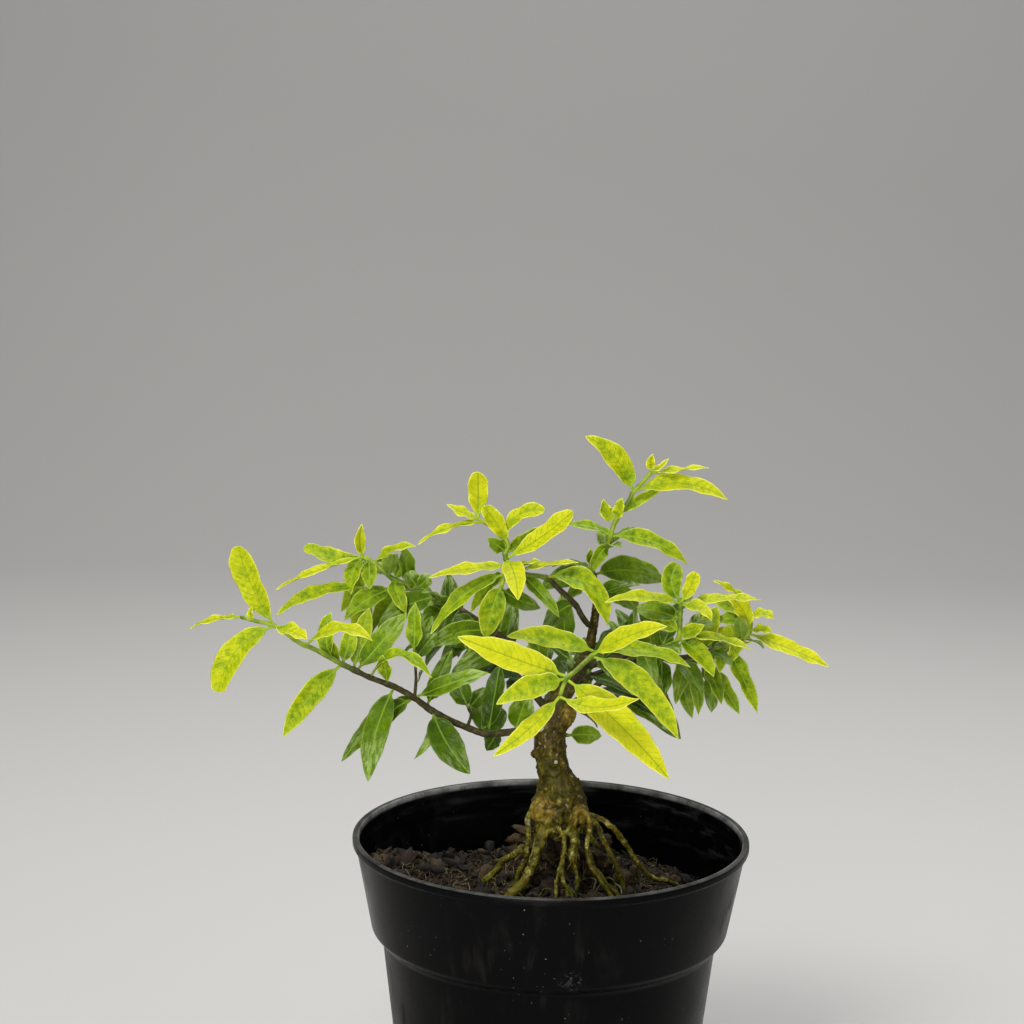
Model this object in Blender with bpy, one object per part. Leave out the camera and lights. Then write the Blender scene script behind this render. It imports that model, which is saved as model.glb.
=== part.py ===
"""Wrightia mame bonsai in a four-inch nursery pot.

Trunk, exposed roots and main stem are one piece of wood. Each leafy branch is one piece with its leaves.
Lengths are millimetres, and MM turns them into metres when a mesh is made. X runs to the right, Y away from
the viewer and Z up, with the origin under the middle of the pot's foot.
"""
import bmesh
import bpy
import numpy as np
from mathutils.bvhtree import BVHTree

MM = 0.001
GAP = 0.3
FLAT_DEGREES = 1.0

# Pot
RIM_RADIUS = 50.8
POT_HEIGHT = 89.0
BAND_HEIGHT = 24.5
BAND_FOOT_RADIUS = 45.5
BODY_TOP_RADIUS = 43.0
SHOULDER_DROP = 2.0
FOOT_RADIUS = 35.0
WALL = 1.2
FLOOR = 3.0
FOOT_RING = 2.5
FOOT_RECESS = 1.5
CENTRE_PAD_RADIUS = 12.0
BEAD = 1.0
DRAIN_HOLES = 8
DRAIN_RADIUS = 3.0
DRAIN_CIRCLE = 24.0
POT_SEGMENTS = 34

# Soil
SOIL_EDGE_HEIGHT = 70.3
MOUND_HEIGHT = 4.6
MOUND_RADIUS = 28.0
BANK_PLACE = (-50.0, 0.0)
BANK_REACH = 24.0
BANK_HEIGHT = 11.0
CLOD_PLACE = (3.0, 14.0)
CLOD_REACH = (14.0, 11.0)
CLOD_HEIGHT = 14.0
SOIL_SEGMENTS = 24
SOIL_RINGS = 6
CRUMB = 0.7

# Leaves: blade thickness, half-width of the stalk, share of the length that is stalk, fold and waved edge.
# The width grows as the power RISE of the length so far and falls as POINTED or BLUNT of what is left.
BLADE = 0.66
STALK = 0.36
STALK_SHARE = 0.1
TIP = 0.12
FOLD = np.tan(np.radians(16))
WAVE = 0.38
WAVE_LENGTH = 0.44
WAVE_START = 0.14
BLADE_STATIONS = (0.0, 0.14, 0.34, 0.56, 0.79, 1.0)
SMALL_STATIONS = (0.0, 0.16, 0.42, 0.74, 1.0)
SMALL_LENGTH = 22.0
RISE = 0.53
POINTED = 0.8
BLUNT = 0.36
OUTER_START = 0.3
TWIG_SIDES = 5

# The trunk and the main stem above it: (x, y, z, radius)
TRUNK = [(2.2, 1.0, 87.5, 1.6), (2.1, 0.5, 89.0, 3.2), (1.9, 0.0, 91.2, 4.8), (2.0, 0.0, 94.0, 6.2),
         (2.1, 0.0, 97.5, 6.3), (2.4, 0.0, 100.5, 5.2), (0.9, 0.0, 104.5, 4.2), (-0.3, 0.0, 109.0, 4.1),
         (-0.7, 0.0, 113.5, 4.0), (-0.5, 0.0, 117.5, 4.0), (0.6, 0.0, 121.5, 3.5), (2.6, 0.2, 125.5, 2.4),
         (5.0, 0.4, 129.5, 1.8), (7.4, 0.8, 134.0, 1.5), (9.2, 1.6, 139.0, 1.3), (10.2, 3.2, 144.5, 1.1),
         (10.8, 6.0, 149.5, 1.0)]
TRUNK_SIDES = 10
KNOB = 0.07

# Knobs and stubs on the wood: (x, y, z, radius)
STUBS = [[(1.2, -1.2, 116, 1.7), (3.0, -2.2, 119, 1.9), (4.4, -3.0, 121.6, 1.7), (4.7, -3.2, 122.3, 1.2)],
         [(-2.6, 0.0, 108.8, 1.4), (-4.6, -0.3, 109.9, 0.9), (-5.4, -0.4, 110.3, 0.5)],
         [(-0.6, -1.2, 99.4, 1.8), (-1.8, -3.2, 97.8, 3), (-2.6, -4.2, 95.8, 3.1), (-3, -4.6, 93.6, 1.6)],
         [(5.6, -0.6, 99.6, 1.6), (6.6, -1.4, 97.2, 2.5), (7.4, -2.0, 94.6, 2.4), (7.6, -2.4, 92.6, 1.4)],
         [(3.4, 2.2, 99.0, 1.8), (4.6, 3.6, 96.6, 2.9), (5.2, 4.4, 93.6, 2.6), (5.4, 4.8, 91.0, 1.2)],
         [(0.4, -3.0, 96.8, 1.4), (0.4, -4.4, 95.2, 2.0), (0.5, -4.8, 93.0, 1.9), (0.8, -4.6, 91.0, 1.1)]]

# Exposed roots, from the root crown into the soil: points and radii at both ends
ROOTS = [
    ([(-4.0, -1.5, 96), (-5.7, -3.5, 94), (-5.6, -4, 90), (-6.2, -4.5, 86), (-7, -5, 82.5), (-8.3, -6, 78.5),
      (-9.5, -7.5, 73.5), (-10.5, -9, 68)], 0.85, 0.6),
    ([(-0.8, -3, 95), (-1.6, -4.4, 91.5), (-2.8, -5.4, 88), (-3.8, -6.2, 84.5), (-5.0, -7, 81),
      (-7.6, -9, 77.6), (-11, -11, 74.5), (-14, -13, 69)], 1.5, 1.15),
    ([(-6.0, -3.4, 86.5), (-8.7, -3, 84.4), (-11.4, -2, 82.2), (-13.4, -1, 79.6), (-15.8, 0, 77),
      (-17.8, 1, 74), (-20, 2, 69)], 0.85, 0.8),
    ([(1.2, -5, 94), (2.9, -6.5, 91.5), (3.5, -7.5, 88.5), (3.3, -8, 85), (3.1, -9, 81.5), (4.0, -10, 78.5),
      (4.7, -11, 75.5), (5.6, -13, 70)], 0.65, 0.5),
    ([(3.0, -8.2, 84.5), (1.8, -10.5, 79), (1.7, -12, 75), (1.0, -14, 70)], 0.5, 0.45),
    ([(4.5, -10.2, 78.5), (6.8, -12, 74.5), (8.5, -14, 70)], 0.5, 0.4),
    ([(4.5, -4, 94), (6, -5, 96), (8, -5, 96.5), (9.6, -5, 95), (10, -5.5, 91), (9.2, -6.5, 87.5),
      (9.6, -7, 84.5), (11.4, -8, 81.5), (13.8, -9.5, 78.5), (15.8, -11, 75.5), (17.5, -13, 70)], 0.75, 0.5),
    ([(9.2, -6.6, 87), (10.9, -6.3, 83), (13.4, -7, 79.8), (16.4, -8, 76.5), (19, -9.5, 73.5),
      (21.5, -11, 69)], 0.55, 0.45),
    ([(6.5, -1, 95), (11, -1.5, 93), (12.8, -1.5, 89.5), (14.5, -1, 86), (16.5, -0.5, 82.3), (17.8, 0, 79.3),
      (19, 0.5, 75.5), (20.5, 1, 70)], 0.75, 0.5),
    ([(5.5, 2, 95), (11.5, 2.5, 92.8), (14.8, 3, 91), (17.5, 4, 87.7), (20, 5, 84.2), (22, 5.5, 81),
      (24, 6, 78), (26.5, 7, 75.6), (29.5, 8, 74.2), (33, 9, 73), (36.5, 10.5, 70)], 0.8, 0.6),
    ([(5.0, -3.5, 92), (6.3, -6.0, 89), (5.7, -7.0, 86), (5.6, -7.2, 83)], 1.2, 1.1),
    ([(5.6, -7.2, 84), (6.6, -7.8, 80.5), (7.2, -8.6, 77), (7.8, -9.4, 73), (8.2, -10, 69)], 0.6, 0.4),
    ([(-1.5, 3, 94), (-3.0, 6, 90), (-3.5, 9, 84), (-3.5, 13, 78), (-4, 17, 73), (-5, 20, 68)], 1.1, 0.8),
    ([(2, 4, 94), (3.5, 8, 89), (4.5, 11, 83), (6.5, 15, 77.5), (7.5, 19, 73), (8.5, 22, 68)], 1.1, 0.8),
    ([(5, 3.5, 93), (9, 7, 88), (12.5, 10, 82), (16, 14, 77), (20, 18, 72.5), (23, 21, 68)], 0.9, 0.6),
]
ROOT_SIDES = 5
STUB_SIDES = 7

# Leafy branches. A twig: points and radii at both ends, its first point inside the wood that it grows from.
# A leaf: the twig, the point along it that it grows from, the tip, how far the middle bulges off the
# straight line, the width, the way its upper side faces, and BLUNT where its tip is round. A pair row: the
# twig, the first and last points along it, the number of leaf pairs between them, the leaf length and width,
# and the seed of their small differences.
BRANCHES = {
    "branch_left": {
        "twigs": [([(-2, 0, 117), (-6, 0, 116.2), (-12, -1, 115.5), (-17.5, -2, 115.5), (-24, -3, 118),
                    (-30.5, -4, 121.5), (-35, -5, 125), (-40, -6, 128), (-46, -7, 130.5), (-53, -8, 134),
                    (-59, -9, 137.5), (-64, -10, 140), (-69.5, -11, 144), (-74, -11.3, 145.2),
                    (-78, -11.5, 146.2)], 1.15, 0.55),
                  ([(-21.8, -2.6, 117), (-20.8, -2.5, 120), (-21.6, -2, 122.2)], 0.5, 0.4),
                  ([(-35, -5, 125), (-34.7, -4.6, 130.1), (-35.3, -4, 136.6)], 0.5, 0.4)],
        "leaves": [
            (0, 12, (-78, -15, 164.5), (-1.2, 0, 0), 7, (-1, -3, 1), BLUNT),
            (0, 14, (-91.5, -8, 142.5), (0, 0, 0.8), 3.4, (0, -1, 3)),
            (0, 13.2, (-75.2, -12.5, 149), (-0.6, 0, 0), 2, (-1, -2, 1)),
            (0, 12, (-83, -16, 128), (-2.4, 0, 2.3), 7, (-1, -3, 1), BLUNT),
            (0, 12, (-60.5, -18, 142.5), (0, 0, 0.4), 4.9, (0, -1, 2)),
            (0, 10.6, (-44.5, -16, 142), (0, -1, 3.8), 4.8, (1, -2, 3)),
            (0, 9, (-67, -14, 116.5), (-1, 0, 0.8), 5.8, (1, -3, 1)),
            (0, 9, (-58, -3, 141), (-1, 0, 0), 4.0, (-1, -3, 1)),
            (0, 9, (-51.6, 1, 142.5), (0.3, 0, 0), 4.4, (1, -3, 1)),
            (0, 8.5, (-38, 5, 145), (0, 0, 0), 6.4, (0, -3, 2)),
            (0, 8, (-30, -12, 132), (-1, 0, 6), 4.9, (0, -1, 3)),
            (0, 6, (-16.5, -7, 132.5), (0, 0, 0.6), 5.3, (0, -2, 2)),
            (0, 7, (-46, -12, 105), (-1.2, -1, 1), 6.6, (0, -3, 1)),
            (0, 6, (-54, -1, 107), (0, 0, 2.2), 5.6, (-1, -3, 1)),
            (0, 6, (-42.3, 2, 118.4), (0, 0, 1), 3.8, (-1, -2, 2)),
            (0, 5, (-20.5, -10, 107), (-1, -1, 0), 7.7, (1, -4, 0)),
            (0, 5, (-35.5, 2, 107.2), (2.4, 0, 0.8), 2.8, (0, -3, 1)),
            (1, 2, (-24.5, -2, 128.4), (0, 0, 0), 5.6, (0, -3, 0), BLUNT),
            (0, 3, (-18.8, 3, 123.7), (0, 0, 0), 6, (0, -3, 1), BLUNT),
            (0, 2.2, (-17, 6, 108.5), (0, 0, 1), 4.7, (0, -3, 1)),
            (0, 1.6, (-6.4, -3, 126.7), (0, 0, 0), 6.6, (0, -3, 0)),
            (2, 2, (-35.2, -4, 149.2), (0, 0, 0), 4.4, (-1, -3, 0)),
            (0, 2.8, (-13.7, 2, 132.7), (0, 0, 1), 5.6, (-1, -3, 1)),
            (2, 1.7, (-29.7, -1, 141), (0, 0, 0.6), 4.2, (0, -3, 1)),
            (0, 7.3, (-41.9, -9, 136.3), (0, 0, 1), 3.9, (-1, -3, 1)),
            (2, 1.9, (-30.8, 3, 144.9), (0, 0, 0), 4, (1, -3, 1)),
            (1, 1.8, (-17.5, 1, 127.8), (0, 0, 0), 4.2, (1, -3, 0)),
            (0, 8.6, (-48.1, 10, 145.2), (0, 0, 0), 5.2, (0, -3, 1)),
            (0, 5.3, (-26.1, 3, 135.8), (0, 0, 0.5), 4.4, (0, -3, 1)),
        ]},
    "branch_upper_left": {
        "twigs": [([(2, 0.5, 123.5), (-1.5, 5.5, 127.5), (-7, 9.5, 133), (-16, 13, 139), (-27, 16, 145),
                    (-36, 18, 149), (-42, 18, 151), (-44.7, 18, 153), (-47.5, 18, 155.5), (-50.5, 18, 157)],
                   1.2, 0.6),
                  ([(-36, 18, 149), (-43, 18, 148.5), (-50.5, 17, 149)], 0.7, 0.5)],
        "leaves": [
            (0, 9, (-50.5, 15, 166), (-0.8, 0, 0), 3.2, (1, -2, 0)),
            (0, 9, (-73, 12, 149), (0, 0, 1), 3.7, (0, -1, 4)),
            (0, 8.6, (-67, 21, 159.1), (0.5, 0, -1.4), 5, (1, -2, 2), BLUNT),
            (1, 2, (-72, 8, 143), (-1, 0, 2.4), 4.8, (0, -2, 3)),
            (0, 8, (-36.5, 14, 161), (-0.8, 0, 1.2), 3.6, (0, -2, 3)),
            (0, 8, (-42, 16, 157), (0, 0, 0.5), 2.8, (0, -1, 2)),
            (0, 6, (-38.9, 20, 157.2), (-0.3, 0, 0.2), 3.8, (1, -2, 2)),
            (0, 6, (-38.6, 12, 143.5), (-1, 0, 1), 4.7, (1, -3, 1)),
            (0, 8.5, (-48.5, 15, 149), (0, 0, 0.5), 4.3, (0, -3, 0)),
            (0, 9, (-54, 16, 147.5), (-1, 0, 1), 4.5, (-1, -3, 0)),
            (1, 1, (-55, 9, 143.5), (0, 0, 1.5), 6.2, (0, -2, 2)),
            (0, 5, (-39.7, 17, 152.9), (0, 0, 0), 4.4, (1, -3, 0), BLUNT),
            (0, 5, (-33.1, 16, 153.4), (0, 0, 0), 3.8, (-1, -3, 0), BLUNT),
            (0, 3.8, (-33, 12, 146), (0, 0, 0.8), 4.8, (0, -2, 2)),
            (0, 4, (-33, 7, 139), (-1, 0, 1), 6.6, (0, -3, 1)),
            (0, 4.4, (-46, 11, 140), (0, 0, 2), 6.6, (0, -3, 2)),
            (0, 3.6, (-22, 8, 134.5), (0, 0, 0), 4.7, (0, -3, 1)),
            (0, 3, (-31, 14, 131), (0, 0, 3), 5.7, (0, -3, 1)),
            (0, 3.2, (-20, 20, 128), (0, 0, 2), 5.9, (0, 1, 3)),
            (0, 3.8, (-30, 33, 143), (0, 0, 2), 5.9, (0, 1, 3)),
            (0, 2.4, (-21.9, 14, 127.9), (0, 0, 1), 5.9, (0, -3, 1)),
            (1, 1.6, (-52.9, 14, 132.9), (0, 0, 2), 6.4, (-1, -2, 2)),
            (0, 5.4, (-50.1, 22, 134.0), (0, 0, 2), 6, (-1, -2, 2)),
            (0, 3, (-31.8, 4, 135.0), (-1, 0, 1.5), 5.8, (1, -3, 1)),
            (0, 2.4, (-26.0, 2, 130.3), (0, 0, 1), 5.8, (0, -3, 1)),
            (0, 8.8, (-56.9, 23, 141.2), (0.6, 0, 0), 4.6, (0, -3, 0)),
        ]},
    "branch_top_centre": {
        "twigs": [([(9.8, 2.6, 142.5), (7.6, -1, 145), (5, -3, 149.5), (1.2, -4, 153.3), (-2.5, -5, 156.5),
                    (-8, -6, 157.5), (-11.5, -6, 159.5), (-12.6, -6, 162.5), (-12, -6, 165),
                    (-14, -6, 167.5),
                    (-16.5, -6, 169.5), (-19.5, -6, 171.2)], 0.9, 0.6),
                  ([(-11.5, -6, 159.5), (-13, -6.6, 156), (-13.7, -7, 153)], 0.8, 0.5)],
        "leaves": [
            (0, 11, (-19.6, -9, 183), (0, 1.5, 0), 5.2, (0, -3, -0.5), BLUNT),
            (0, 11, (-27.3, -4, 174.5), (0, 0, -0.3), 3.2, (1, -2, 2)),
            (0, 10.5, (-34.5, -8, 164.8), (-0.5, 0, 1.4), 3.5, (0, -1, 3)),
            (0, 8.5, (-3, -8, 174), (-1.8, 0, 2.2), 3.9, (-1, -2, 1), BLUNT),
            (0, 6.6, (3.8, -10, 174), (0.5, 0, -0.4), 5.2, (-1, -2, 1), BLUNT),
            (0, 7, (-2, 1, 168.5), (0, 0, 0), 4.3, (0, -2, 1)),
            (0, 6, (-31.3, -10, 157), (0, 0, 0.7), 3.9, (0, -2, 3)),
            (1, 0.6, (-31, -9, 142.5), (-0.8, 0, 2.5), 5, (-1, -2, 2)),
            (1, 1.3, (-17.1, -9, 141.5), (-0.5, -2, 0.4), 6.4, (0, -3, 0)),
            (0, 6.5, (-9, -19, 153.5), (0.5, 0, 1.5), 5.7, (0, -1, 1)),
            (0, 5.5, (5.6, -8, 161.3), (0, 0, 0.3), 3.4, (0, -1, 4)),
            (0, 5.8, (-4, -9, 161.7), (0, 0, 0), 2.8, (0, -1, 3)),
            (0, 4, (13.3, -9, 145.5), (2.5, 0, 4.6), 7, (1, -2, 2)),
            (0, 5.2, (1.3, -9, 147.4), (0, 0, 0.6), 4.3, (1, -2, 2)),
            (0, 2, (-2.9, -1, 142.1), (0, 0, 1.5), 5, (0, -3, 1)),
            (1, 1.7, (-3.5, -1, 148), (-0.6, 0, -0.4), 4.6, (0, -3, 1)),
            (0, 7.2, (-16.8, -10, 167), (0, 0, 0), 3.6, (-1, -2, 1)),
            (0, 8, (-17.9, -10, 174.7), (0.3, 0, 0.3), 4.4, (1, -3, 0), BLUNT),
        ]},
    "branch_top_right": {
        "twigs": [([(10.6, 5, 147.5), (10.8, 7, 151.5), (9.8, 9, 155), (9.3, 10, 157.5), (11.8, 10, 160.5),
                    (13.6, 10, 163), (14.3, 10, 166.5), (15.3, 10, 169.2), (18.5, 10, 174.3),
                    (19.4, 10, 176.4),
                    (21.7, 10, 179), (24.2, 10, 182)], 0.9, 0.6)],
        "leaves": [
            (0, 9, (7, 7, 191), (1.9, 0, 1.4), 6.1, (1, -3, 1)),
            (0, 9, (43.5, 7, 175.5), (0, 0, 3.4), 5.4, (0, -2, 2)),
            (0, 11, (24.2, 8, 186.5), (-0.5, 0, 0), 2.5, (0, -1, 0)),
            (0, 11, (28.2, 9, 185.5), (0, 0, -0.5), 1.7, (0, -1, 1)),
            (0, 10.8, (38.5, 9, 183.5), (0, 0, 0.2), 3, (0, -1, 3)),
            (0, 7, (12, 9, 174.6), (-1, 0, -0.5), 3.6, (1, -2, 0)),
            (0, 7, (16.8, 8, 175.3), (0, 0, 0), 3.1, (-1, -2, 0)),
            (0, 7.3, (27.5, 13, 177.5), (0, 0, 0.6), 2.8, (0, -2, 1)),
            (0, 5.5, (-1.5, 12, 167.5), (2.5, 0, 1.2), 3.7, (0, -1, 2)),
            (0, 5.5, (33.8, 8, 158.7), (0, 0, 2.7), 5.1, (0, -2, 2)),
            (0, 3, (9, 8, 162), (-0.5, 0, 0), 2.2, (1, -2, 0)),
            (0, 2, (29, 24, 151), (0, 1, 2), 7.4, (0, -3, 1)),
            (0, 2, (-4, 18, 149.5), (0, 0, 1.5), 5.7, (0, -3, 1)),
            (0, 4, (22, 24, 165), (0, 0, 2), 5.1, (0, 1, 3)),
            (0, 5, (7.4, 7, 156.4), (0, 0, 0.8), 3.6, (1, -2, 1)),
            (0, 1, (22.2, 14, 144.6), (0, 0, 2), 6, (1, -3, 1)),
            (0, 1.6, (2.9, 16, 147.0), (0, 0, 1.5), 4.7, (0, -3, 2)),
        ]},
    "branch_right": {
        "twigs": [([(7, 0.6, 133), (10.5, -1.4, 133.8), (15, -2.5, 135.5), (22, -4, 138), (27.5, -5, 139.5),
                    (31, -5, 141.5), (31.4, -5, 146.5), (31.5, -5, 151)], 1.0, 0.6)],
        "leaves": [
            (0, 7, (30.5, -5, 160.6), (-2, 0, 0), 5.3, (0, -3, 0), BLUNT),
            (0, 7, (34.8, -6, 158.8), (0.5, 0, 0), 3.7, (-1, -3, 0), BLUNT),
            (0, 6.9, (12.2, -8, 150.3), (0, 0, 1.6), 4, (0, -1, 1.5)),
            (0, 6.9, (51.5, -4, 152), (0, 0, 0.7), 4.2, (0, -1, 3)),
            (0, 6.8, (39, -10, 147.5), (0.5, 0, 1.5), 4.3, (1, -2, 2)),
            (0, 5.2, (37, -9, 146), (0, 0, 0), 3.7, (1, -2, 1)),
            (0, 5.2, (49, -10, 140.5), (0, 0, 1.2), 3.9, (0, -1, 3)),
            (0, 5, (40, -10, 133.3), (0.5, -1, 1.5), 5.2, (1, -3, 2)),
            (0, 6, (20, 2, 147.5), (0, 0, 1), 5.7, (0, -3, 2)),
            (0, 4, (21, -1, 128), (-1, 0, 1), 5.7, (0, -3, 1)),
            (0, 3, (25, -10, 129), (0, 0, 2), 5.1, (0, -3, 2)),
            (0, 5.4, (23.5, -3, 145.6), (0, 0, 1), 3.9, (-1, -3, 2)),
        ]},
    "branch_right_tip": {
        "twigs": [([(8.6, 1.3, 137), (13, 2.6, 137), (19, 3.4, 136), (26, 4, 135), (33, 4.5, 134.8),
                    (40, 5, 136.5), (45, 5, 138.5), (49.5, 5, 141.2), (50, 7, 145.5),
                    (49, 8, 150)], 1.0, 0.6)],
        "leaves": [
            (0, 7.2, (43.2, 1, 151.5), (0.9, 0, 1.6), 5, (1, -3, 1)),
            (0, 9, (40.5, 6, 154.8), (0, 0, 0), 3.2, (0, -1, 2)),
            (0, 8, (56, 5, 145.6), (0, 0, 0.8), 4.2, (0, -1, 2)),
            (0, 7.2, (55.4, 3, 142.3), (0, 0, 0.5), 3.6, (0, -1, 2)),
            (0, 7, (70, 1, 134), (0, 0, 0.6), 5.3, (0, -2, 3)),
            (0, 6.4, (45, 1, 134.5), (0, 0, 1), 3.8, (1, -2, 1)),
            (0, 5.6, (41.5, 3, 131.5), (0, 0, 0.5), 3.3, (0, -2, 1)),
            (0, 5.8, (52.4, 2, 121.3), (0, 0, 0.8), 4.8, (1, -2, 1)),
            (0, 8, (40.5, 12, 148.5), (0, 0, 1), 4.7, (0, -2, 1)),
            (0, 6.4, (49.8, 2, 139), (0, 0, -0.5), 1.8, (0, -1, 2)),
            (0, 7.6, (41, 9, 143.5), (0, 0, 1), 4.3, (0, -1, 1)),
            (0, 5, (44, 20, 134), (0, 0, 2), 5.1, (0, 1, 3)),
            (0, 4.6, (43.5, 9, 146.5), (0, 0, 1), 5.4, (0, -3, 1)),
            (0, 2.6, (21.1, -1, 144.9), (0, 0, 1), 4.7, (0, -3, 2)),
            (0, 6.6, (42.8, 6, 144.5), (0, 0, 0), 4.4, (1, -3, 1)),
        ]},
    "branch_right_low": {
        "twigs": [([(3.6, 0.3, 127), (6.5, 5, 128), (14, 9, 130), (23, 11, 132.5), (31, 12, 133.2),
                    (37, 12, 132.4), (41, 12, 131)], 1.1, 0.6)],
        "leaves": [
            (0, 4.6, (37.8, 8, 119), (0.5, 0, 1), 4.3, (1, -3, 1)),
            (0, 4.2, (36.5, 12, 117), (-0.5, 0, 0), 4.3, (0, -3, 1)),
            (0, 5.6, (43.3, 4, 123), (0, 0, 1), 4.3, (1, -3, 1)),
            (0, 6, (41.8, 16, 117.6), (0, 0, 0), 4.3, (0, -3, 1)),
            (0, 5.7, (48.6, 10, 118.9), (0, 0, 0.5), 4.4, (1, -3, 1)),
            (0, 3.6, (28, 6, 123), (0, 0, 0), 5.7, (-1, -3, 1)),
            (0, 3, (33.8, 14, 110.9), (-2, 0, -0.4), 7.8, (0, -3, 1)),
            (0, 4, (22, 17, 146), (0, 0, 1), 6.6, (0, -3, 1)),
            (0, 5, (42, 21, 145), (0, 0, 1), 5.7, (0, -3, 2)),
            (0, 4.6, (43, 30, 126), (0, 0, 2), 5.7, (0, 2, 2)),
            (0, 3.2, (26, 30, 124), (0, 0, 2), 5.7, (0, 2, 2)),
            (0, 2, (22.1, 1, 125.8), (0, 0, 1), 6, (0, -3, 1)),
            (0, 2.8, (28.0, 5, 122.9), (0, 0, 1.5), 5.4, (1, -3, 1)),
            (0, 4.4, (31.5, 7, 122.0), (0.5, 0, 1), 4.3, (-1, -3, 1)),
        ]},
    "branch_front": {
        "twigs": [([(4.6, 0.4, 128.5), (7, -5, 132), (8.4, -12, 136.5), (10.5, -21, 141), (9, -27, 141.5),
                    (5.5, -33, 139.5), (3, -37, 138), (1.5, -40, 134.5)], 0.95, 0.55)],
        "leaves": [
            (0, 5.8, (-22.6, -36, 147.5), (0, 0, -0.2), 7.2, (0, -3, 2)),
            (0, 6, (-13, -46, 134), (0, 0, 1), 5.8, (0, -3, 2)),
            (0, 7, (-13.7, -46, 121.5), (0.8, 0, -0.4), 4.4, (-1, -3, 1)),
            (0, 3, (-11.4, -22, 145), (-0.5, 0, 1.6), 6, (0, -2, 2)),
            (0, 4, (26.3, -34, 150.7), (-0.4, 0, 1.2), 5.7, (0, -2, 2)),
            (0, 3, (33.5, -18, 137.5), (0, 0, 2.4), 5.1, (0, -2, 3)),
            (0, 4, (29.8, -36, 124), (1.4, 0, 2.8), 6.8, (1, -3, 2)),
            (0, 6, (27.3, -46, 117), (-0.3, 0, 1.9), 8.6, (1, -3, 2)),
            (0, 7, (19.2, -52, 137.5), (0, 0, -2.2), 5.5, (0, -2, 3)),
        ]},
    "branch_back_left": {
        "twigs": [([(-0.5, 0, 120), (-4, 6, 123), (-9, 13, 126.5), (-15, 20, 129.5), (-22, 28, 132),
                    (-28, 35, 133.5), (-33, 41, 134)], 1.3, 0.6)],
        "leaves": [],
        "pairs": [(0, 1.8, 6.0, 5, 18, 6, 35)]},
    "branch_back_mid": {
        "twigs": [([(-0.5, 0, 116), (2, 6, 118), (4, 14, 121), (5, 24, 124), (5, 34, 126.5), (3, 43, 128)],
                   1.2, 0.6)],
        "leaves": [],
        "pairs": [(0, 1.8, 5.0, 4, 18, 6, 125)]},
    "branch_back_right": {
        "twigs": [([(1.0, 0.4, 121.5), (5.5, 6.5, 122), (11, 14, 124.5), (17.5, 23, 128), (23.5, 31, 131),
                    (28, 39, 133)], 1.2, 0.6)],
        "leaves": [],
        "pairs": [(0, 1.9, 5.0, 4, 18, 6, 3)]},
    "leaf_trunk": {
        "twigs": [([(0, 0.5, 115.4), (3.0, 2.4, 114.4), (4.1, 3.3, 114)], 0.7, 0.6)],
        "leaves": [
            (0, 2, (12.9, 9, 112.5), (0, 0, 0.3), 5, (0, -3, 0.6)),
        ]},
}

# Pair leaves: how far they lean along the twig and how far the tips sink, as shares of their length
PAIR_LEAN = 0.5
PAIR_SINK = 0.16
PAIR_ARCH = 0.1
PAIR_SPREAD = 14.0

# Small turns, in degrees, that a leaf tries in this order until it is clear of the other pieces
BENDS = [(0, 0)] + [(lift, swing) for size in (4, 8, 12, 17, 23, 30)
                    for lift, swing in ((size, 0), (-size, 0), (0, size), (0, -size), (size, size),
                                        (-size, -size), (size, -size), (-size, size))]


def unit(v):
    return v / np.maximum(np.linalg.norm(v, axis=-1, keepdims=True), 1e-9)


def spline(points, u):
    """The point at u on the smooth curve through the points. At 1.5 it is halfway from point 1 to 2."""
    p = np.asarray(points, float)
    q = np.vstack([2 * p[0] - p[1], p, 2 * p[-1] - p[-2]])
    i = min(int(u), len(p) - 2)
    t = u - i
    a, b, c, d = q[i:i + 4]
    square = 2 * a - 5 * b + 4 * c - d
    cube = 3 * b - a - 3 * c + d
    return 0.5 * (2 * b + (c - a) * t + square * t ** 2 + cube * t ** 3)


def tangent(points, u):
    last = len(points) - 1
    return unit(spline(points, min(u + 0.1, last)) - spline(points, max(u - 0.1, 0)))


def turned(v, axis, degrees):
    """Vector v turned about a unit axis."""
    a = np.radians(degrees)
    return v * np.cos(a) + np.cross(axis, v) * np.sin(a) + axis * (axis @ v) * (1 - np.cos(a))


def half_width(t, width, fall):
    """Half of a leaf's width at share t of its length. The tip is the blunter the smaller fall is."""
    s = np.clip((t - STALK_SHARE) / (1 - STALK_SHARE), 0, 1)
    top = RISE / (RISE + fall)
    shape = (s ** RISE * (1 - s) ** fall) / (top ** RISE * (1 - top) ** fall)
    return np.maximum(width / 2 * shape, np.where(t < 0.5, STALK, TIP))


def blade_surface(leaf, t, u, extra=0.0):
    """Points of a leaf's middle surface at shares t along it and u across it, and its upward direction."""
    base, tip, bulge, width, face, fall = leaf
    tt = t[:, None]
    centre = (1 - tt) * base + tt * tip + 4 * tt * (1 - tt) * bulge
    along = unit((tip - base) + 4 * (1 - 2 * tt) * bulge)
    up = unit(face - (along @ face)[:, None] * along)
    side = np.cross(along, up)
    half = half_width(t, width, fall)[:, None] + extra
    across = u[None, :]
    ripple = np.cos(2 * np.pi * (t - WAVE_START) / WAVE_LENGTH)[:, None] * np.sign(across) * across ** 2
    lift = FOLD * (np.abs(across) - 0.5) * half + WAVE * ripple * np.minimum(1, half / 1.5)
    return centre[:, None] + side[:, None] * (across * half)[..., None] + up[:, None] * lift[..., None], up


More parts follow.
